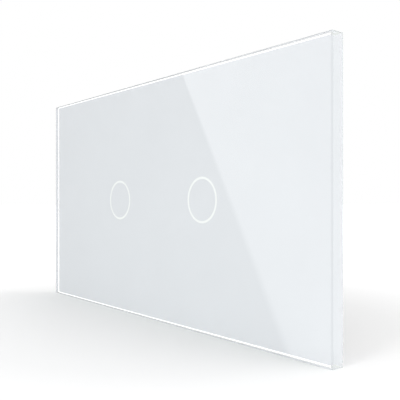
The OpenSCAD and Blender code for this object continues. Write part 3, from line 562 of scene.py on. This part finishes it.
# %% Glass
GLASS_TINT = (0.20, 0.80, 0.56, 1)
TINT_DENSITY = 5.0
SMEARS, SMEAR_RANGE, SMEAR_ROUGHNESS = 38.0, (0.58, 0.78), 0.012
glass, tree, shader = new_finish(
    "polished_glass", Base_Color=WHITE, IOR=1.5, Transmission_Weight=1.0)
smears = spread(tree, noise(tree, spots(tree)[0], SMEARS, 5.0), *SMEAR_RANGE, 0.0, SMEAR_ROUGHNESS)
fill(tree, shader.inputs["Roughness"], smears)
path = add(tree, "LightPath").outputs
lets_by = calc(tree, "MAXIMUM", path["Is Shadow Ray"], path["Is Diffuse Ray"])
lets_by = calc(tree, "MAXIMUM", lets_by, calc(tree, "GREATER_THAN", path["Ray Depth"], TRAPPED))
clear = add(tree, "BsdfTransparent")
pane = add(tree, "MixShader", {0: lets_by, 1: shader.outputs[0], 2: clear.outputs[0]})
body_tint = add(tree, "VolumeAbsorption", {"Color": GLASS_TINT, "Density": TINT_DENSITY})
tree.links.new(pane.outputs[0], tree.nodes["Material Output"].inputs["Surface"])
tree.links.new(body_tint.outputs[0], tree.nodes["Material Output"].inputs["Volume"])
dress(glass, "glass_plate")
low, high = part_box("glass_plate")
print("glass", [round(v / MM, 2) for v in high - low], "mm")

# %% [markdown]
# ## Print and rings behind the glass
# White ceramic ink is screen-printed on the back of the glass, up to a narrow clear margin, and two
# touch rings are left open for a whiter, translucent ink. The trace of the LEDs' light that comes
# through it is a painted glow: the ring ink itself glows faintly, since the LEDs give no light. Ink
# wets the glass, with no air between. Two CAD solids that merely touch would leave such a film of air
# and flicker, so both get a copy whose front reaches a hair into the glass. The finish has the faint
# cloudiness of an ink layer and, on its bare back alone, the weave of the screen: against the glass
# the ink is flat.

# %% Ink
PRINT_COLOUR = (0.737, 0.739, 0.774)
RING_COLOUR = (0.88, 0.88, 0.88)
# the rings' faint emission is a painted glow for the LEDs' light behind them
RING_PAINTED_GLOW = {"Emission_Color": (0.92, 0.96, 1.0, 1), "Emission_Strength": 0.04}
CLOUDS = 55.0
SCREEN_THREADS = 2500 * math.pi
WEAVE_DEPTH, WEAVE_DULLS = 2e-6, 0.1
BARE_BACK = (0.2, 0.8)


def ink(name, colour, roughness, **sockets):
    material, tree, shader = new_finish(name, **sockets)
    where, parts = spots(tree)
    cloudy = swing(tree, noise(tree, where, CLOUDS, 3.0), 0.985, 1.0)
    threads = [calc(tree, "SINE", calc(tree, "MULTIPLY", parts[axis], SCREEN_THREADS))
               for axis in "XZ"]
    bare = spread(tree, facing(tree, "Y"), *BARE_BACK)
    weave = calc(tree, "MULTIPLY", calc(tree, "MULTIPLY", *threads), bare)
    bump = add(tree, "Bump", {"Height": weave, "Distance": WEAVE_DEPTH})
    rough = spread(tree, weave, -1.0, 1.0, roughness, roughness + WEAVE_DULLS)
    fill(tree, shader.inputs["Base Color"], shaded(tree, colour + (1,), cloudy))
    fill(tree, shader.inputs["Roughness"], rough)
    fill(tree, shader.inputs["Normal"], bump.outputs[0])
    return material


print("recipe for ink")

# %% Ink layers
INTO_GLASS = 0.02 * MM
AT_FRONT = 0.001 * MM


def show(name, mesh, material, body, slot, *stands_for):
    """Puts a new piece into the scene and on its body; the slot is not used."""
    piece = bpy.data.objects.new(name, mesh)
    scene.collection.objects.link(piece)
    mesh.materials.clear()
    mesh.materials.append(material)
    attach(piece, body)
    if stands_for:
        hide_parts(*stands_for)
    print("piece", name, len(mesh.polygons), "faces")


def ink_layer(node_name, name, material, slot):
    mesh = nodes[node_name].data.copy()
    mesh.name = name
    front = min(v.co.y for v in mesh.vertices)
    for v in mesh.vertices:
        if v.co.y < front + AT_FRONT:
            v.co.y -= INTO_GLASS
    show(name, mesh, material, "panel", slot, node_name)


ink_layer("back_print", "print_layer", ink("white_print", PRINT_COLOUR, 0.5), "panel_print")
ring_ink = ink("ring_print", RING_COLOUR, 0.4, **RING_PAINTED_GLOW)
ink_layer("ring_windows", "ring_lines", ring_ink, "ring_print")

# %% [markdown]
# ## Tape, carrier and snap clips
# A closed-cell foam tape bonds the glass to a white moulded carrier, and four bent strips of spring
# steel in the carrier's skirt snap the panel on. Foam shows its cells at its cut edges, which a
# Voronoi texture draws well: the bump sinks the open cells, and their darker colour is a painted shade
# in these hollows.

# %% Foam tape
FOAM_CELLS, FOAM_WALL, FOAM_DEPTH = 3200.0, (0.15, 0.6), 2e-5
FOAM_PORE_SHADE, FOAM_SKIN = (0.66, 0.66, 0.65, 1), (0.86, 0.86, 0.85, 1)
foam, tree, shader = new_finish("tape_foam", Roughness=0.9)
cells = add(tree, "TexVoronoi", {"Vector": spots(tree)[0], "Scale": FOAM_CELLS}).outputs["Distance"]
pore_and_shade = spread(tree, cells, *FOAM_WALL)
bump = add(tree, "Bump", {"Height": pore_and_shade, "Distance": FOAM_DEPTH})
# the darker colour in the cells is painted shade in the hollows, the bump gives their shape
fill(tree, shader.inputs["Base Color"], mixed(tree, pore_and_shade, FOAM_PORE_SHADE, FOAM_SKIN))
fill(tree, shader.inputs["Normal"], bump.outputs[0])
dress(foam, "panel_tape")
print("tape dressed")

# %% Carrier and clips
carrier = moulded("carrier_plastic", (0.80, 0.80, 0.79), 0.42, grain=2600.0, wear=0.3)[0]
dress(carrier, "clip_frame")
dress(plated("spring_steel", (0.72, 0.72, 0.71), 0.24, lines=9000.0, pull=0.02)[0], "snap_clips")
print("carrier and clips dressed")

# %% [markdown]
# ## Support frame, cover and light guides
# The support frame is screwed to the wall box. A dark cover keeps light from leaking between the
# two rings, and a frosted acrylic tube under each ring carries the light of its four LEDs forward.
# Frosting scatters the light, so the guides get some transmission and a rough skin rather than
# clear glass.

# %% Frame, cover and guides
support = moulded("frame_plastic", (0.78, 0.78, 0.76), 0.48, grain=2200.0, wear=0.3)[0]
dress(support, "support_frame")
cover = moulded("cover_plastic", (0.16, 0.16, 0.17), 0.50, grain=1900.0, depth=5e-6, wear=0.3)[0]
dress(cover, "front_cover")
guide = moulded("guide_acrylic", (0.92, 0.93, 0.93), 0.36, grain=5200.0, depth=2e-6, wear=0.1,
                IOR=1.49, Transmission_Weight=0.45)[0]
dress(guide, "light_guide_left", "light_guide_right")
print("frame, cover and guides dressed")

# %% [markdown]
# ## Touch springs
# A finger is felt through the glass by a coil of plated wire that stands on the sensor board,
# inside its light guide. A curve with a round bevel could make the wire. Here a small function
# sweeps a circle along the points of the coil, with a frame that never twists, because the wire's
# ends can then be rounded off as a cut and tumbled wire is.

# %% Sweep a wire
END_STEPS = [0.0, 0.12, 0.4, 0.75]
END_TAPER = 0.75
WIRE_SIDES = 12


def closed(bm, name):
    """Turns a finished bmesh into a smooth mesh with its normals outwards."""
    bmesh.ops.recalc_face_normals(bm, faces=bm.faces)
    for face in bm.faces:
        face.smooth = len(face.verts) == 4
    mesh = bpy.data.meshes.new(name)
    bm.to_mesh(mesh)
    bm.free()
    return mesh


def wire_mesh(name, line, radius):
    """A round wire along a line of points, closed and rounded off at both ends."""
    first, last = (line[1] - line[0]).normalized(), (line[-2] - line[-1]).normalized()
    points = [(line[0] + first * radius * e, e) for e in END_STEPS] + [(p, 1.0) for p in line[1:-1]]
    points += [(line[-1] + last * radius * e, e) for e in reversed(END_STEPS)]
    turn = [2 * math.pi * k / WIRE_SIDES for k in range(WIRE_SIDES)]
    bm = bmesh.new()
    rings, side = [], None
    for i, (point, e) in enumerate(points):
        ahead = (points[min(i + 1, len(points) - 1)][0] - points[max(i - 1, 0)][0]).normalized()
        side = side or ahead.orthogonal()
        side = (side - ahead * side.dot(ahead)).normalized()
        up = ahead.cross(side)
        r = radius * math.sqrt(1 - END_TAPER * (1 - e) ** 2)
        around = (r * (math.cos(a) * side + math.sin(a) * up) for a in turn)
        rings.append([bm.verts.new(point + out) for out in around])
    for one, two in zip(rings, rings[1:]):
        for k in range(WIRE_SIDES):
            n = (k + 1) % WIRE_SIDES
            bm.faces.new((one[k], one[n], two[n], two[k]))
    bm.faces.new(rings[0])
    bm.faces.new(rings[-1])
    return closed(bm, name)


print("wires are swept with", WIRE_SIDES, "sides")

# %% Touch springs
SIDES = ("left", "right")
SPRING_WIRE = 0.6 * MM
SPRING_LEG = 1.5 * SPRING_WIRE
SPRING_TURNS = 5
STEPS = 36
spring_metal = plated("touch_spring_wire", (0.76, 0.74, 0.68), 0.20, lines=5000.0, pull=1.0)[0]
for side in SIDES:
    low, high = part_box("touch_spring_" + side)
    middle = (low + high) / 2
    radius = (high.x - low.x - SPRING_WIRE) / 2
    start, rise = high.y - SPRING_LEG, high.y - low.y - 2 * SPRING_LEG
    line = [Vector((middle.x + radius, high.y, middle.z))]
    for i in range(SPRING_TURNS * STEPS + 1):
        a = 2 * math.pi * i / STEPS
        y = start - rise * i / (SPRING_TURNS * STEPS)
        line.append(Vector((middle.x + radius * math.cos(a), y, middle.z + radius * math.sin(a))))
    line.append(line[-1] - Vector((0, SPRING_LEG, 0)))
    mesh = wire_mesh("touch_coil_" + side, line, SPRING_WIRE / 2)
    show("touch_coil_" + side, mesh, spring_metal, "module", "spring_steel", "touch_spring_" + side)

# %% [markdown]
# ## Circuit boards
# Two boards carry the electronics. Solder resist is a thin green lacquer, and the copper tracks
# under it stand up a little and look lighter. Real tracks follow a drawing. Here lines on a grid of
# 1.27 mm are switched on and off by chance, which a White Noise node decides for each cell, and
# round pads sit on a grid of 2.54 mm.

# %% Cells of a grid
TRACK_CELLS, TRACK_HALF, TRACK_RARE, CROSS_SEED = 9.0, 0.15, 0.55, 7.0
PAD_AREA, PAD_RARE, PAD_SEED = 0.06, 0.7, 3.0


def cell(tree, value, size):
    """The number of a cell and the place in it, from 0 to 1."""
    scaled = calc(tree, "DIVIDE", value, size)
    return calc(tree, "FLOOR", scaled), calc(tree, "FRACT", scaled)


def chance(tree, one, two, seed):
    spot = add(tree, "CombineXYZ", {0: one, 1: two, 2: seed}).outputs[0]
    return add(tree, "TexWhiteNoise", {"Vector": spot}, noise_dimensions="3D").outputs["Value"]


def track_lines(tree, along, across, pitch, seed):
    row, inside = cell(tree, across, pitch)
    stretch = cell(tree, along, calc(tree, "MULTIPLY", pitch, TRACK_CELLS))[0]
    line = calc(tree, "LESS_THAN", distance(tree, inside, 0.5), TRACK_HALF)
    there = calc(tree, "GREATER_THAN", chance(tree, stretch, row, seed), TRACK_RARE)
    return calc(tree, "MULTIPLY", line, there)


print("helpers for grids")

# %% Board tracks
TRACKS, given, result = node_group(
    "board_tracks", {"Grid": 1.27 * MM, "Seed": 0.0},
    {"Track": "Float", "Pad": "Float", "Height": "Float"})
parts = spots(TRACKS)[1]
pitch, seed = given["Grid"], given["Seed"]
runs = [track_lines(TRACKS, parts["X"], parts["Z"], pitch, seed),
        track_lines(TRACKS, parts["Z"], parts["X"], pitch, calc(TRACKS, "ADD", seed, CROSS_SEED))]
track = calc(TRACKS, "MAXIMUM", *runs)
double = calc(TRACKS, "MULTIPLY", pitch, 2.0)
grid = [cell(TRACKS, parts[axis], double) for axis in "XZ"]
offsets = [calc(TRACKS, "POWER", calc(TRACKS, "SUBTRACT", inside, 0.5), 2.0)
           for number, inside in grid]
disc = calc(TRACKS, "LESS_THAN", calc(TRACKS, "ADD", *offsets), PAD_AREA)
there = calc(TRACKS, "GREATER_THAN", chance(TRACKS, grid[0][0], grid[1][0], PAD_SEED), PAD_RARE)
pad = calc(TRACKS, "MULTIPLY", disc, there)
TRACKS.links.new(track, result["Track"])
TRACKS.links.new(pad, result["Pad"])
TRACKS.links.new(calc(TRACKS, "MAXIMUM", track, pad), result["Height"])
print("group", TRACKS.name)

# %% Boards
RESIST, RESIST_ON_COPPER = (0.020, 0.135, 0.060), (0.045, 0.235, 0.105, 1)
BOARD_CORE = (0.45, 0.42, 0.24, 1)
CUT_EDGE = 0.5
TRACK_DEPTH = 3e-5
for seed, name in enumerate(("sensor_board", "power_board")):
    material, tree, shader = moulded(
        name + "_resist", RESIST, 0.28, grain=900.0, depth=1e-6, wear=0.0)
    tracks = place(tree, TRACKS, Seed=float(seed))
    patch(tree, shader, tracks["Track"], RESIST_ON_COPPER)
    patch(tree, shader, tracks["Pad"], TIN, 0.35, metal=True)
    rim = calc(tree, "LESS_THAN", calc(tree, "ABSOLUTE", facing(tree, "Y")), CUT_EDGE)
    patch(tree, shader, rim, BOARD_CORE, 0.8)
    bump = add(tree, "Bump", {"Height": tracks["Height"], "Distance": TRACK_DEPTH})
    fill(tree, shader.inputs["Normal"], bump.outputs[0])
    dress(material, name)
print("boards dressed")

# %% [markdown]
# ## Small parts on the boards
# LEDs are white ceramic cups filled with yellow phosphor, chips are black epoxy with tinned leads,
# and the small capacitors are brown ceramic bars with tinned ends. They could each be split into
# pieces by finish. It's enough to tell the finishes apart by place or by the way a face looks,
# because all stand in the same direction.

# %% LEDs
PHOSPHOR = (0.86, 0.72, 0.16, 1)
FACING_FRONT = -0.9
material, tree, shader = moulded("led_cup", (0.90, 0.90, 0.88), 0.4, wear=0.0)
patch(tree, shader, calc(tree, "LESS_THAN", facing(tree, "Y"), FACING_FRONT), PHOSPHOR, 0.15)
dress(material, "status_leds")
print("LEDs dressed")

# %% Chips
CHIP_HALF = 1.96 * MM
CHIP_ROWS = (4 * MM, -7 * MM)


def chip_finish(name, rows):
    """Black epoxy between the rows of leads, tin outside them."""
    material, tree, shader = moulded(
        name, (0.035, 0.035, 0.04), 0.55, grain=3600.0, depth=4e-6, wear=0.3)
    gaps = [distance(tree, spots(tree)[1]["Z"], z) for z in rows]
    nearest = gaps[0] if len(gaps) == 1 else calc(tree, "MINIMUM", *gaps)
    lead = calc(tree, "GREATER_THAN", nearest, CHIP_HALF)
    patch(tree, shader, lead, TIN, TIN_ROUGHNESS, metal=True)
    return material


rectifier_mid = (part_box("rectifier")[0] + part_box("rectifier")[1]) / 2
dress(chip_finish("chip_epoxy", CHIP_ROWS), "touch_chips")
dress(chip_finish("rectifier_epoxy", (rectifier_mid.z,)), "rectifier")
print("chips dressed")

# %% Small capacitors
PASSIVE_PITCH = 4 * MM
PASSIVE_BODY_HALF = 0.5 * MM
material, tree, shader = moulded(
    "passive_ceramic", (0.36, 0.22, 0.12), 0.45, grain=5000.0, wear=0.1)
shifted = calc(tree, "ADD", spots(tree)[1]["X"], PASSIVE_PITCH / 2)
from_middle = distance(tree, cell(tree, shifted, PASSIVE_PITCH)[1], 0.5)
end_cap = calc(tree, "GREATER_THAN", from_middle, PASSIVE_BODY_HALF / PASSIVE_PITCH)
patch(tree, shader, end_cap, TIN, TIN_ROUGHNESS, metal=True)
dress(material, "sensor_passives")
print("small capacitors dressed")

# %% [markdown]
# ### Connector between the boards
# A strip of gilt pins on one board plugs into a socket on the other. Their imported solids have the
# right shape already, so a black nylon and a gold plating are all that they need.

# %% Connector between the boards
connector = moulded("connector_nylon", (0.045, 0.045, 0.05), 0.42, grain=3000.0, wear=0.25)[0]
dress(connector, "board_header", "board_socket")
dress(plated("pin_gold", (0.83, 0.64, 0.26), 0.18)[0], "header_pins")
print("connector dressed")

# %% [markdown]
# ## Power parts
# A yellow potted film capacitor, a fuse, a blue dipped varistor, two sleeved aluminium cans and a
# small transformer. Their leads go down through the power board, so what lies behind the board's
# front is tinned wire.

# %% Film capacitor, fuse and varistor
VARISTOR_LIFT = 1.5 * MM
board_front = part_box("power_board")[0].y
film = moulded("film_capacitor_box", (0.80, 0.56, 0.06), 0.26, grain=1200.0, depth=1e-6, wear=0.3)
dress(tinned_leads(film, board_front), "filter_capacitor")
fuse_body = moulded("fuse_resin", (0.22, 0.10, 0.045), 0.34, grain=2000.0, wear=0.3)
dress(tinned_leads(fuse_body, board_front), "fuse")
dipped = moulded("varistor_dip", (0.04, 0.17, 0.42), 0.22, grain=500.0, depth=3e-5, wear=0.0)
dress(tinned_leads(dipped, board_front - VARISTOR_LIFT), "varistor")
print("film capacitor, fuse and varistor dressed")

# %% [markdown]
# ### Sleeved cans
# A dark shrunk sleeve with a pale stripe for the minus lead covers each can, and its bare end is
# scored with a cross, along which it opens if it fails. The groove has no shape here: the cross is
# painted dark grey, a painted shade for the groove, and only its roughness is its own. Both cans are
# one mesh, so the place within the pitch of the cans tells where a spot lies on its own can.

# %% Sleeved cans
CAN_D, CAN_PITCH = 8 * MM, 10 * MM
CAN_TOP, CAN_SCORE = 0.7 * MM, 0.16 * MM
STRIPE_HALF, STRIPE = 1.4 * MM, (0.62, 0.64, 0.68, 1)
SCORE_SHADE = (0.2, 0.2, 0.2, 1)
low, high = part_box("smoothing_capacitors")
sleeve, tree, shader = moulded(
    "can_sleeve", (0.05, 0.07, 0.15), 0.28, grain=600.0, depth=1e-6, wear=0.0)
parts = spots(tree)[1]
from_first = calc(tree, "SUBTRACT", parts["X"], low.x - (CAN_PITCH - CAN_D) / 2)
from_axis = distance(tree, cell(tree, from_first, CAN_PITCH)[1], 0.5)
sideways = calc(tree, "MULTIPLY", from_axis, CAN_PITCH)
upward = calc(tree, "SUBTRACT", parts["Z"], (low.z + high.z) / 2)
below = calc(tree, "LESS_THAN", upward, 0.0)
stripe = calc(tree, "MULTIPLY", calc(tree, "LESS_THAN", sideways, STRIPE_HALF), below)
patch(tree, shader, stripe, STRIPE)
end = calc(tree, "LESS_THAN", parts["Y"], low.y + CAN_TOP)
lead = calc(tree, "GREATER_THAN", parts["Y"], board_front)
patch(tree, shader, calc(tree, "MAXIMUM", end, lead), TIN, 0.32, metal=True)
off_cross = calc(tree, "MINIMUM", sideways, calc(tree, "ABSOLUTE", upward))
score = calc(tree, "LESS_THAN", off_cross, CAN_SCORE)
# the dark grey of the cross is painted shade standing in for the scored groove
patch(tree, shader, calc(tree, "MULTIPLY", end, score), SCORE_SHADE, 0.6)
dress(sleeve, "smoothing_capacitors")
print("cans dressed")

# %% [markdown]
# ### Transformer
# Two ferrite halves clasp a bobbin that is wound with yellow tape. The tape shows a darker line at
# each turn, which the place within one turn's width gives.

# %% Transformer
LEG, FLANGE = 2.6 * MM, 0.9 * MM
TAPE_TURN, TAPE_EDGE = 0.9 * MM, (0.0, 0.12)
TAPE_LINE, TAPE = (0.50, 0.36, 0.04, 1), (0.80, 0.60, 0.08, 1)
low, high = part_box("transformer_core")
ferrite = moulded("ferrite", (0.075, 0.075, 0.08), 0.62, grain=4200.0, depth=8e-6, wear=0.5)[0]
dress(ferrite, "transformer_core")
material, tree, shader = moulded("winding_tape", (0.045, 0.045, 0.05), 0.4, grain=2600.0, wear=0.2)
depth = spots(tree)[1]["Y"]
wound = calc(tree, "MULTIPLY", calc(tree, "GREATER_THAN", depth, low.y + LEG + FLANGE),
             calc(tree, "LESS_THAN", depth, high.y - LEG - FLANGE))
turn = cell(tree, depth, TAPE_TURN)[1]
patch(tree, shader, wound, mixed(tree, spread(tree, turn, *TAPE_EDGE), TAPE_LINE, TAPE), 0.25)
dress(tinned_leads((material, tree, shader), board_front), "transformer_winding")
print("transformer dressed")

# %% [markdown]
# ## Relays
# Each relay has a coil on a bobbin, a plated yoke and a rocking armature with silver contacts,
# under a blue case. One finish serves both relays, apart from the contacts, whose silver faces are
# told by their place.

# %% Relay finishes
SILVER, SILVER_FACE = (0.86, 0.85, 0.82, 1), 0.72 * MM
RELAY_FINISHES = {
    "base": moulded("relay_base_plastic", (0.045, 0.045, 0.055), 0.45)[0],
    "case": moulded("relay_case_plastic", (0.03, 0.09, 0.32), 0.30,
                    grain=1500.0, depth=2e-6, wear=0.35)[0],
    "coil": moulded("coil_bobbin", (0.72, 0.70, 0.62), 0.42)[0],
    "yoke": plated("yoke_steel", (0.55, 0.56, 0.57), 0.32)[0],
    "armature": plated("armature_steel", (0.68, 0.68, 0.68), 0.26)[0],
}
for side in SIDES:
    relay = "relay_" + side
    for part, finish in RELAY_FINISHES.items():
        dress(finish, relay + "_" + part)
    copper, tree, shader = plated("contact_copper_" + side, (0.72, 0.42, 0.22), 0.26)
    silver_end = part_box(relay + "_contacts")[0].y + SILVER_FACE
    patch(tree, shader, calc(tree, "LESS_THAN", spots(tree)[1]["Y"], silver_end), SILVER, 0.2)
    dress(copper, relay + "_contacts")
print("relays dressed")

# %% [markdown]
# ### Relay windings
# The winding is one long enamelled wire in a helix. A swept wire would take more than twice the
# faces, many of them hidden between the turns, and its surface alone is enough: a tube whose wall
# swells once for every turn and climbs by one wire's width as it goes round, laid over the plain
# solid of the coil and closed at both ends.

# %% Relay windings
WIRE_PITCH = 0.2875 * MM
BOBBIN_FLANGE = 0.9 * MM
WINDING_R = 3.92 * MM
WINDING_SWELL = 0.1 * MM
ROUND = 40
PER_TURN = 4
enamel = plated("enamelled_wire", (0.62, 0.28, 0.12), 0.24, lines=3000.0, pull=1.0)[0]
for side in SIDES:
    low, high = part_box("relay_" + side + "_coil")
    middle = (low + high) / 2
    y0, y1 = low.y + BOBBIN_FLANGE, high.y - BOBBIN_FLANGE
    bm = bmesh.new()
    rings = []
    for k in range(-PER_TURN, PER_TURN * round((y1 - y0) / WIRE_PITCH) + 1):
        r = WINDING_R + WINDING_SWELL * abs(math.sin(math.pi * k / PER_TURN))
        ring = []
        for i in range(ROUND):
            y = y0 + WIRE_PITCH * (k / PER_TURN + i / ROUND)
            a = 2 * math.pi * i / ROUND
            spot = Vector((r * math.cos(a), min(max(y, y0), y1) - middle.y, r * math.sin(a)))
            ring.append(bm.verts.new(middle + spot))
        rings.append(ring)
    for k, one in enumerate(rings[:-1]):
        for i in range(ROUND):
            n = (i + 1) % ROUND
            up = PER_TURN if n == 0 else 0
            if k + 1 + up < len(rings):
                bm.faces.new((one[i], rings[k + up][n], rings[k + 1 + up][n], rings[k + 1][i]))
    bmesh.ops.holes_fill(bm, edges=[edge for edge in bm.edges if edge.is_boundary])
    mesh = closed(bm, "coil_winding_" + side)
    show("coil_winding_" + side, mesh, enamel, "module", "coil_copper")

# %% [markdown]
# ## Terminals
# Wires are clamped by brass cages that rise as their zinc-plated screws turn. Brass tarnishes a
# little unevenly and stays bright where its edges are rubbed, and turned screws keep fine lines.
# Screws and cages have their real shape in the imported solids, so the recipe for metal does the rest.

# %% Terminals
TERMINALS = (1, 2, 3)
nylon = moulded("terminal_nylon", (0.78, 0.78, 0.75), 0.38, grain=2800.0, wear=0.2)[0]
dress(nylon, "terminal_block")
brass = plated("terminal_brass", (0.78, 0.58, 0.26), 0.26, lines=4200.0)[0]
dress(brass, "terminal_bars", *("terminal_cage_%d" % i for i in TERMINALS))
zinc = plated("screw_zinc", (0.68, 0.69, 0.70), 0.28, lines=5200.0, pull=0.3)[0]
dress(zinc, "housing_screws", *("terminal_screw_%d" % i for i in TERMINALS))
print("terminals dressed")

# %% [markdown]
# ## Rear housing and its marks
# The housing sits in the wall box. Its plastic is dark, flame-retarded and coarsely spark-eroded.
# Above the screw holes are plain moulded marks for the supply and the two lamps: raised strokes in
# a sunk field, made as flat bands along a few points and given thickness, because a font would
# bring in far more faces for three short marks.

# %% Housing
housing_finish = moulded(
    "housing_plastic", (0.13, 0.13, 0.14), 0.52, grain=1500.0, depth=9e-6, wear=0.4)[0]
dress(housing_finish, "rear_housing")
print("housing dressed")

# %% A flat stroke
MITRE_LEAST = 0.35


def left_of(way):
    return Vector((-way.y, way.x))


def band(points, width):
    """The two sides of a flat stroke along the points, with mitred corners and square ends."""
    left, right = [], []
    for i, p in enumerate(points):
        before = (p - points[i - 1]).normalized() if i else None
        after = (points[i + 1] - p).normalized() if i + 1 < len(points) else None
        ways = [w for w in (before, after) if w]
        normal = sum((left_of(w) for w in ways), Vector((0, 0))).normalized()
        reach = width / 2 / max(normal.dot(left_of(ways[0])), MITRE_LEAST)
        end = Vector((0, 0))
        if not before:
            end = after * -width / 2
        elif not after:
            end = before * width / 2
        left.append(p + normal * reach + end)
        right.append(p - normal * reach + end)
    return left, right


print("helpers for strokes")

# %% Terminal marks
TERMINAL_PITCH = 9 * MM
MARK_FIELD, MARK_FOOT, MARK_RISE = 0.35 * MM, 0.01 * MM, 0.25 * MM
MARK_Z, MARK_STROKE, MARK_SIZE = -12.0 * MM, 0.36 * MM, 2.0 * MM
LETTER_WIDTH, LETTER_STEP = 0.55, 0.85
MARKS = (("L1", -TERMINAL_PITCH), ("L", 0.0), ("L2", TERMINAL_PITCH))
STROKES = {
    "L": [(0, 1), (0, 0), (0.55, 0)],
    "1": [(0, 0.78), (0.22, 1), (0.22, 0)],
    "2": [(0, 0.80), (0.14, 1), (0.42, 1), (0.55, 0.84), (0.55, 0.64), (0, 0), (0.55, 0)],
}
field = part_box("rear_housing")[1].y - MARK_FIELD
bm = bmesh.new()
for word, x in MARKS:
    start = -0.5 * MARK_SIZE * (LETTER_WIDTH + LETTER_STEP * (len(word) - 1))
    for letter in word:
        points = [Vector((start + u * MARK_SIZE, (v - 0.5) * MARK_SIZE))
                  for u, v in STROKES[letter]]
        start += LETTER_STEP * MARK_SIZE
        rows = band(points, MARK_STROKE)
        levels = (field - MARK_FOOT, field + MARK_RISE)
        (a0, b0), (a1, b1) = (
            [[bm.verts.new((x - p.x, y, MARK_Z + p.y)) for p in row] for row in rows]
            for y in levels)
        for k in range(len(points) - 1):
            bm.faces.new((a1[k], a1[k + 1], b1[k + 1], b1[k]))
            bm.faces.new((a0[k], b0[k], b0[k + 1], a0[k + 1]))
            bm.faces.new((a0[k], a0[k + 1], a1[k + 1], a1[k]))
            bm.faces.new((b0[k], b1[k], b1[k + 1], b0[k + 1]))
        for k in (0, -1):
            bm.faces.new((a0[k], a1[k], b1[k], b0[k]))
mesh = closed(bm, "terminal_marks")
mesh.polygons.foreach_set("use_smooth", [False] * len(mesh.polygons))
show("terminal_marks", mesh, housing_finish, "module", "housing_plastic")
